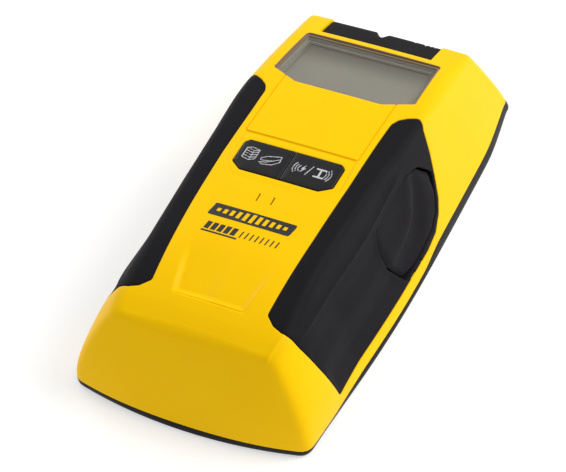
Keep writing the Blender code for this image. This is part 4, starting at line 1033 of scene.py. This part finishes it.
def lens_ring(name, outer_inset, inner_inset, low, high, surface):
    """A flat ring that follows the cover's outline, measured inwards from its edge."""
    outer = rounded_outline(offset_outline(LENS_OUTLINE, -outer_inset), 0.6)
    inner = rounded_outline(offset_outline(LENS_OUTLINE, -inner_inset), 0.4)
    points, faces = loft([at_height(outer, low), at_height(outer, high), at_height(inner, high),
                          at_height(inner, low)], ends=False)
    rides(mesh_object(name, on_lens_plane(points), faces, surface), "housing")


def make_display(clear, outline, border, face):
    """The clear cover with its dark rim and printed border, the well under it and the display in the well;
    the rim and the well's wall are coloured as painted shadow.
    """
    points, faces = slab(LENS_OUTLINE, 0.8, -LENS_THICKNESS, 0.0, 0.3, 0.1)
    plate = mesh_object("display_cover", on_lens_plane(points), faces, clear)
    stands_for(plate, "housing", "lens", "lcd_lens")
    under, rim_foot, well_wall = -LENS_THICKNESS - 0.02, -0.5, WINDOW_INSET + 0.3
    # The rim and the well's wall are dark brown, a painted shadow of the gap round the cover and of the well.
    lens_ring("cover_rim_shade", 0.04, RIM, rim_foot, 0.1, outline)
    lens_ring("cover_edge", 0.04, RIM, under, rim_foot, border)
    lens_ring("cover_border", RIM, BORDER, under - 0.04, under, border)
    lens_ring("cover_mask", BORDER, well_wall, under - 0.04, under, face)
    lens_ring("display_well", WINDOW_INSET + 0.05, well_wall, DISPLAY_DEPTH - 0.1, under - 0.05, outline)
    front = slab(offset_outline(LENS_OUTLINE, -WINDOW_INSET - 0.1), 0.3, GLASS_TOP, DISPLAY_DEPTH, 0.05)
    glass = ((-22.6, 28.6), (22.6, 28.6), (22.6, 56.0), (-22.6, 56.0))
    back = slab(glass, 0.3, GLASS_TOP - GLASS_DEPTH, GLASS_TOP, 0.05)
    points, faces = joined(front, back)
    module = mesh_object("display_module", on_lens_plane(points), faces, face)
    stands_for(module, "housing", "lcd", "lcd_glass")


# ---------------------------------------------------------------- marking cap

def make_marking_cap(form, surface):
    """The bar across the far end, a little below the shell, with its V channel and scale notches."""
    skin = clipped(form.copy(), cap_field, 0.0, -0.1, -0.28, -0.5)
    for place, half_width, _ in ((NOTCH_X, NOTCH_FLOOR, NOTCH_DEPTH), *SCALE_NOTCHES):
        imprint(skin, lambda p: p[:, 0] - place, -half_width, 0.0, half_width)
    inward = normals(skin)
    recess = CAP_RECESS + roll(-cap_field(skin.points), CAP_ROUND)
    lowered = Skin(shift(skin.points, inward, recess), skin.triangles, skin.held)
    imprint(lowered, notch_field, -0.12, 0.0)
    outer = notched(lowered.points)
    back = shift(lowered.points, normals(lowered), CAP_DEPTH - CAP_RECESS)
    piece = mesh_object("marking_bar", *thicken(outer, back, lowered.triangles), surface)
    stands_for(piece, "housing", "cap", "marking_cap")


# ---------------------------------------------------------------- keys

def half_strip(side, grow):
    """One key's outline: its half of the strip, which parts at the middle."""
    outline = offset_outline(KEY_STRIP, grow)
    low, high = outline[:, 1].min(), outline[:, 1].max()
    half = [tuple(point) for point in outline if point[0] * side > 0]
    if side > 0:
        return [(KEY_PARTING, low)] + half + [(KEY_PARTING, high)]
    return [(-KEY_PARTING, high)] + half[1:] + [half[0], (-KEY_PARTING, low)]


def make_key(name, side, surface, ink):
    """A key's cap with its flange under the shell, its stem to the switch and its printed icons."""
    face = slab(half_strip(side, 0.0), 0.5, KEY_FLANGE_Z, KEY_FACE_Z - KEY_CROWN, 0.45, crown=KEY_CROWN)
    flange = slab(half_strip(side, 0.9), 0.5, KEY_FLANGE_Z - 0.2, KEY_FLANGE_Z + 0.9, 0.15)
    x = side * KEY_STEM_X
    stem = round_bar((x, KEY_STEM_Y, KEY_TIP_Z), (x, KEY_STEM_Y, KEY_FLANGE_Z + 0.5), KEY_STEM_RADIUS)
    piece = mesh_object(name + "_cap", *joined(face, flange, stem), surface)
    stands_for(piece, name, "key", name)
    marks = stud_marks if side < 0 else metal_marks
    low, high = KEY_FACE_Z + 0.005, KEY_FACE_Z + 0.05
    area = (-15.0, -1.0) if side < 0 else (1.0, 15.0)
    icon = printed(name + "_icons", area, ICON_Y, 0.28, marks, low, high, ink)
    rides(icon, name)


def printed(name, x_range, y_range, spacing, field, low, high, surface):
    """Flat print: the part of a small grid inside a field, with a little thickness."""
    xs = np.arange(x_range[0], x_range[1] + spacing / 2, spacing)
    ys = np.arange(y_range[0], y_range[1] + spacing / 2, spacing)
    grid_x, grid_y = np.meshgrid(xs, ys, indexing="ij")
    points = np.stack([grid_x.ravel(), grid_y.ravel(), np.zeros(grid_x.size)], axis=1)
    i, j = np.meshgrid(np.arange(len(xs) - 1), np.arange(len(ys) - 1), indexing="ij")
    corner = (i * len(ys) + j).ravel()
    right, up = corner + len(ys), corner + 1
    skin = Skin(points, np.concatenate([np.stack([corner, right, right + 1], axis=1),
                                        np.stack([corner, right + 1, up], axis=1)]))
    skin = clipped(skin, field, 0.0)
    heights = [np.full(len(skin.points), level) if np.isscalar(level) else level(skin.points)
               for level in (high, low)]
    layers = [np.stack([skin.points[:, 0], skin.points[:, 1], height], axis=1) for height in heights]
    return mesh_object(name, *thicken(*layers, skin.triangles), surface)


def stroke(points, line, half_width):
    """Distance from a pen stroke along an open line, negative inside."""
    return np.abs(line_distance(line, points[:, 0], points[:, 1])) - half_width


def arc(points, middle, radius, facing, spread, half_width):
    """Distance from a pen stroke along an arc that faces a direction, in degrees."""
    x, y = points[:, 0] - middle[0], points[:, 1] - middle[1]
    turn = (np.degrees(np.arctan2(y, x)) - facing + 180.0) % 360.0 - 180.0
    beyond = np.radians(np.maximum(np.abs(turn) - spread, 0.0)) * radius
    return np.hypot(np.hypot(x, y) - radius, beyond) - half_width


def placed(line, x, y):
    """A line drawn from a mark's own middle, put in place."""
    return [(x + across, y + along) for across, along in line]


def stud_marks(points):
    """Icons of the left key: the end of a timber stud with its grain, and a folded metal stud."""
    x, y = -12.2, -10.6
    lines = [placed(line, x, y) for line in TIMBER_END]
    lines += [((x + 0.6, y + level), (x + 2.2, y + level + 0.9)) for level in (-1.5, -0.4, 0.7)]
    lines += [((x - 1.8, y + level), (x + 0.6, y + level - 0.6)) for level in (-0.9, 0.2, 1.3)]
    lines += [placed(line, -5.6, -10.9) for line in METAL_STUD]
    return np.minimum.reduce([stroke(points, line, PEN) for line in lines])


def metal_marks(points):
    """Icons of the right key: a live wire's flash and a steel beam, each sending out waves."""
    x, y = 5.0, -10.8
    marks = [outline_field(placed(FLASH, x, y), points[:, 0], points[:, 1])]
    marks += [arc(points, (x + 0.6, y), radius, 180.0, 36.0, PEN) for radius in (2.1, 2.9, 3.7)]
    marks.append(stroke(points, placed(SLASH, x, y), PEN))
    x += 5.4
    marks += [stroke(points, placed(line, x, y), 0.3) for line in BEAM]
    marks += [arc(points, (x - 0.6, y), radius, 0.0, 36.0, PEN) for radius in (2.5, 3.3, 4.1)]
    return np.minimum.reduce(marks)


# ---------------------------------------------------------------- base plate and battery door

def box_shape(low, high):
    """A plain box between two corners, as points and faces."""
    (x0, y0, z0), (x1, y1, z1) = low, high
    corners = ((x0, y0), (x1, y0), (x1, y1), (x0, y1))
    points = np.array([(x, y, z) for z in (z0, z1) for x, y in corners], float)
    faces = [[3, 2, 1, 0], [4, 5, 6, 7]] + [[i, (i + 1) % 4, (i + 1) % 4 + 4, i + 4] for i in range(4)]
    return points, faces


def combine(target, shape, operation):
    """Join a shape to a mesh or cut it away, at once."""
    tool = mesh_object("tool", *shape)
    modifier = target.modifiers.new(operation, "BOOLEAN")
    modifier.operation, modifier.solver, modifier.object = operation, "EXACT", tool
    settle(target)
    bpy.data.objects.remove(tool, do_unlink=True)


def settle(target):
    """Apply an object's modifiers to its mesh."""
    bpy.context.view_layer.update()
    made = bpy.data.meshes.new_from_object(target.evaluated_get(bpy.context.evaluated_depsgraph_get()))
    old = target.data
    target.modifiers.clear()
    target.data = made
    bpy.data.meshes.remove(old)
    made.shade_smooth()
    made.set_sharp_from_angle(angle=math.radians(SHARP_ANGLE))


def soften(target, width, segments):
    """Round the edges of a plain piece."""
    modifier = target.modifiers.new("rounded", "BEVEL")
    modifier.width, modifier.segments = width * MM, segments
    modifier.limit_method, modifier.angle_limit = "ANGLE", math.radians(40.0)
    modifier.use_clamp_overlap = True
    settle(target)


def inset_ring(ring, distance):
    """A ring moved inwards, square to its own run."""
    ahead = np.roll(ring, -1, axis=0) - np.roll(ring, 1, axis=0)
    side = np.stack([-ahead[:, 1], ahead[:, 0]], axis=1) / np.linalg.norm(ahead[:, :2], axis=1)[:, None]
    moved = ring.copy()
    moved[:, :2] += side * distance
    return moved


def make_base_plate(surface):
    """The black plate: a rounded foot, a skirt up to the seam, and a tray inside."""
    base, crown = half_outlines(PLATE_SPACING)
    height = top_height(crown[:, 0], crown[:, 1])
    seam = smooth(SEAM, base[:, 1])

    def ring_at(z):
        return mirror_rows([wall_point(base, crown, z / height)])[0]

    rows = []
    for angle in np.linspace(0, math.pi / 2, 4):
        ring = ring_at(np.full(len(base), PLATE_FOOT * (1 - math.sin(math.pi / 2 - angle))))
        rows.append(inset_ring(ring, PLATE_FOOT * (1 - math.sin(angle))))
    for share in (0.4, 0.75):
        rows.append(ring_at(PLATE_FOOT + (seam - PLATE_FOOT) * share))
    lip = ring_at(seam)
    for angle in np.linspace(0, math.pi / 2, 4):
        ring = inset_ring(lip, PLATE_LIP * (1 - math.cos(angle)))
        ring[:, 2] -= PLATE_LIP * (1 - math.sin(angle))
        rows.append(ring)
    inner = inset_ring(lip, PLATE_WALL)
    floor = inner.copy()
    floor[:, 2] = PLATE_FLOOR
    rows = [np.where(row[:, 1:2] > FAR_PART, notched(row), row) for row in rows]
    plate = mesh_object("base_skirt", *loft(rows + [inner, floor]), surface)
    wall_x, near_y, latch_x, below = DOOR_HALF_WIDTH + GAP, DOOR_Y[0] - GAP, LATCH_HALF_WIDTH + GAP, -1.0
    for operation, low, high in (
            ("UNION", (-wall_x - BAY_WALL, near_y - BAY_WALL, 1.0), (wall_x + BAY_WALL, BAY_END_Y, BAY_TOP)),
            ("DIFFERENCE", (-wall_x, near_y, below), (wall_x, DOOR_Y[1] + 0.7, BAY_TOP + 1)),
            ("DIFFERENCE", (-latch_x, near_y - LATCH_LENGTH, below), (latch_x, near_y + 1, PLATE_FLOOR)),
    ):
        combine(plate, box_shape(low, high), operation)
    for x, y in HOUSING_SCREWS:
        combine(plate, round_bar((x, y, below), (x, y, 1.6), SCREW_HEAD, 32, 0.01), "DIFFERENCE")
        combine(plate, round_bar((x, y, below), (x, y, 6.0), SCREW_HOLE, 24, 0.01), "DIFFERENCE")
    stands_for(plate, "housing", "base", "base_plate")


def make_door(surface):
    """The battery door: a latch tongue, hinge tabs, and a thumb recess with ribs."""
    near_y, hinge_y = DOOR_Y
    low, high = (-DOOR_HALF_WIDTH, near_y, DOOR_RECESS), (DOOR_HALF_WIDTH, hinge_y, PLATE_FLOOR)
    door = mesh_object("door_lid", *box_shape(low, high), surface)
    combine(door, box_shape((-LATCH_HALF_WIDTH, near_y - LATCH_LENGTH, DOOR_RECESS),
                            (LATCH_HALF_WIDTH, near_y + 1.0, PLATE_FLOOR - GAP)), "UNION")
    for left, right in HINGE_TABS:
        root = hinge_y - HINGE_ROOT
        combine(door, box_shape((left, root, 1.0), (right, hinge_y - 0.4, PLATE_FLOOR + 1.0)), "UNION")
        combine(door, box_shape((left, root, PLATE_FLOOR + GAP),
                                (right, hinge_y + HINGE_REACH, PLATE_FLOOR + 1.5)), "UNION")
    combine(door, box_shape((-4.0, near_y - 1.0, -1.0), (4.0, near_y - 0.2, 0.8)), "DIFFERENCE")
    combine(door, slab(THUMB_RECESS, 2.5, -1.0, 0.75, 0.3), "DIFFERENCE")
    for y in np.arange(*RIB_Y, RIB_PITCH):
        low, high = y - RIB_HALF_WIDTH, y + RIB_HALF_WIDTH
        rib = slab(((-RIB_X, low), (RIB_X, low), (RIB_X, high), (-RIB_X, high)), 0.3, 0.35, 1.2, 0.05)
        combine(door, rib, "UNION")
    soften(door, 0.12, 2)
    stands_for(door, "battery_door", "base", "battery_door")


# ---------------------------------------------------------------- generic print on the front

def slanted(points, left, right, low, high, lean=0.16):
    """A bar between two sides, leaning to the right by a share of its height."""
    x = points[:, 0] - lean * (points[:, 1] - low)
    return np.maximum(np.maximum(left - x, x - right), np.maximum(low - points[:, 1], points[:, 1] - high))


def label_ticks(points):
    """A centre-finding scale: bars that grow towards the middle."""
    marks = []
    middle = (LABEL[0][1] + LABEL[2][1]) / 2
    for step in range(-5, 6):
        reach = 1.75 - 0.22 * abs(step)
        marks.append(slanted(points, step * 2.1 - 0.75, step * 2.1 + 0.35, middle - reach, middle + reach))
    return np.minimum.reduce(marks)


def under_marks(points):
    """Under the label: five heavy bars over a rule, then a row of thin ones."""
    low = UNDER_LABEL_Y
    marks = [slanted(points, left, left + 1.5, low, low + 2.9) for left in np.arange(-12.0, -2.4, 2.05)]
    marks.append(slanted(points, -12.4, -1.2, low - 1.1, low - 0.5))
    marks += [slanted(points, left, left + 0.4, low, low + 2.5) for left in np.arange(-0.8, 10.5, 1.6)]
    return np.minimum.reduce(marks)


def make_print(ink, yellow):
    """The printed plate and scale, and a painted shadow under the two slits."""
    def lifted(lift):
        return lambda points: top_height(points[:, 0], points[:, 1]) + lift

    for name, x_range, y_range, spacing, field, low, high, surface in (
            ("label_plate", (-15.0, 15.0), (-39.0, -32.0), 0.8, label_field, -0.05, 0.04, ink),
            ("label_scale", (-13.0, 13.0), (-38.0, -33.0), 0.25, label_ticks, 0.045, 0.08, yellow),
            ("label_rules", (-14.0, 13.0), (-45.5, -40.0), 0.2, under_marks, -0.05, 0.04, ink),
            # Painted shadow: a dark sheet below the slits, where the inside is in shade.
            ("slit_shadow", (-3.2, 3.2), (-29.0, -24.5), 0.4, lambda p: slit_area(p) - 0.25, -1.6, -0.9, ink),
    ):
        piece = printed(name, x_range, y_range, spacing, field, lifted(low), lifted(high), surface)
        rides(piece, "housing")


# ---------------------------------------------------------------- pieces inside, which keep their CAD shape

def dress(surface, *names):
    """Give CAD pieces a material."""
    for name in names:
        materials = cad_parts[name].data.materials
        materials.clear()
        materials.append(surface)


def dress_inside():
    """Materials of everything under the shell."""
    dress(moulded("board_green", (0.015, 0.12, 0.05), 0.35, 0.5, 0.15, 0.02, 0.15),
          "main_board", "sensor_board")
    dress(moulded("chip_black", (0.02, 0.02, 0.022), 0.45),
          "microcontroller", "buzzer", "board_link", "snap_connector", "stud_key_switch", "metal_key_switch",
          "right_side_switch", "left_side_switch")
    dress(moulded("plunger_white", (0.75, 0.75, 0.72), 0.4),
          "lcd_frame", "stud_key_plunger", "metal_key_plunger", "right_side_plunger", "left_side_plunger")
    dress(moulded("contact_rubber", (0.12, 0.12, 0.12), 0.8), "lcd_connector")
    dress(moulded("foam", (0.1, 0.1, 0.1), 0.95, 0.8, 1.0, 0.3), "battery_foam_pad")
    dress(metal("sensor_copper", (0.75, 0.4, 0.22), 0.35), *[f"sensor_plate_{i}" for i in range(1, 5)])
    dress(metal("winding_copper", (0.5, 0.18, 0.06), 0.4), "metal_coil")
    dress(moulded("ferrite", (0.03, 0.03, 0.032), 0.6), "coil_core")
    dress(moulded("battery_case", (0.06, 0.07, 0.09), 0.35), "battery")
    dress(metal("terminal_plate", (0.75, 0.74, 0.7), 0.3), "battery_stud_terminal", "battery_socket_terminal")
    dress(moulded("lead_red", (0.5, 0.02, 0.015), 0.45), "red_lead")
    dress(moulded("lead_black", (0.02, 0.02, 0.02), 0.45), "black_lead")
    screws = [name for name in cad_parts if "_screw_" in name]
    dress(metal("screw_steel", (0.55, 0.55, 0.56), 0.3), *screws)


# ---------------------------------------------------------------- camera and light

def place_camera():
    """The view of the reference: from the near right, high up, with a long lens."""
    back = Vector((math.sin(AZIMUTH) * math.cos(ELEVATION), -math.cos(AZIMUTH) * math.cos(ELEVATION),
                   math.sin(ELEVATION)))
    right = Vector((math.cos(AZIMUTH), math.sin(AZIMUTH), 0.0))
    down = (-back).cross(right)
    turned_right = math.cos(TILT) * right + math.sin(TILT) * down
    turned_down = -math.sin(TILT) * right + math.cos(TILT) * down
    camera = bpy.data.cameras.new("camera")
    camera.sensor_width = SENSOR_WIDTH
    camera.lens = CAMERA_LENS
    camera.clip_start = 0.01
    holder = in_scene("camera", camera)
    turn = Matrix((turned_right, -turned_down, back)).transposed().to_4x4()
    holder.matrix_world = Matrix.Translation(Vector(CAMERA_PLACE) * MM) @ turn
    bpy.context.scene.camera = holder


def soft_light(name, place, energy, size):
    """A square lamp that faces the object; its place and size are in metres."""
    lamp = bpy.data.lights.new(name, "AREA")
    lamp.energy = energy
    lamp.size = size
    holder = in_scene(name, lamp)
    holder.location = place
    holder.rotation_euler = (Vector((0.0, 0.0, 0.02)) - Vector(place)).to_track_quat("-Z", "Y").to_euler()


def make_studio():
    """A plain white floor under soft light from above, from the right and the left far side."""
    grid = bmesh.new()
    bmesh.ops.create_grid(grid, x_segments=1, y_segments=1, size=FLOOR_HALF_SIZE)
    mesh = bpy.data.meshes.new("floor")
    grid.to_mesh(mesh)
    grid.free()
    floor = in_scene("floor", mesh)
    white = Nodes("floor_white", (0.6, 0.6, 0.6), 0.7)
    white.feed("Roughness", white.between(white.noise(40.0), 0.65, 0.75))
    white.shader.inputs["Emission Color"].default_value = (1.0, 1.0, 1.0, 1.0)
    white.shader.inputs["Emission Strength"].default_value = FLOOR_GLOW
    mesh.materials.append(white.material)
    floor.location.z = -FLOOR_DROP
    world = bpy.data.worlds.new("studio")
    bpy.context.scene.world = world
    world.use_nodes = True
    background = world.node_tree.nodes["Background"]
    background.inputs["Color"].default_value = (1.0, 1.0, 1.0, 1.0)
    background.inputs["Strength"].default_value = WORLD_LIGHT
    soft_light("key_light", (0.8, 0.44, 0.9), 11.5, 0.7)
    soft_light("fill_light", (-0.9, 0.5, 0.5), 5.0, 0.8)
    bpy.context.scene.view_settings.view_transform = "Standard"


def main():
    form = skin_from_rows(mirror_rows(body_rows(FORM_SPACING, lambda y: smooth(SEAM, y) + CLEARANCE)))
    yellow = moulded("housing_yellow", (1.0, 0.58, 0.0), 0.4, Specular_IOR_Level=0.07)
    rubber = moulded("grip_rubber", (0.0105, 0.0095, 0.0115), 0.6, 0.5, 0.5, 0.05, 0.15,
                     Specular_IOR_Level=0.07)
    black = moulded("plate_black", (0.01, 0.009, 0.009), 0.45, Specular_IOR_Level=0.15)
    key_black = moulded("key_black", (0.011, 0.0095, 0.011), 0.4, Specular_IOR_Level=0.25)
    ink_white = moulded("ink_white", (0.55, 0.56, 0.57), 0.5)
    print_and_shade_black = moulded("print_and_shade_black", (0.02, 0.017, 0.014), 0.4)
    # Dark brown: painted shadow for the cover's rim, the well's wall and the shell round the window.
    window_gap_shade = moulded("cover_rim_shade", (0.3, 0.2, 0.12), 0.4)
    make_housing(form, yellow, rubber, window_gap_shade)
    for side in (1, -1):
        make_grip(form, side, rubber)
        make_side_button(form, side, rubber)
    make_display(clear_cover("lens_clear"), window_gap_shade, moulded("cover_border", (0.45, 0.43, 0.4), 0.35),
                 display_face("display_face"))
    make_marking_cap(form, moulded("cap_black", (0.012, 0.011, 0.0115), 0.55, Specular_IOR_Level=0.07))
    make_key("stud_key", -1, key_black, ink_white)
    make_key("metal_key", 1, key_black, ink_white)
    make_base_plate(black)
    make_door(black)
    make_print(print_and_shade_black, yellow)
    dress_inside()
    make_studio()
    place_camera()


main()
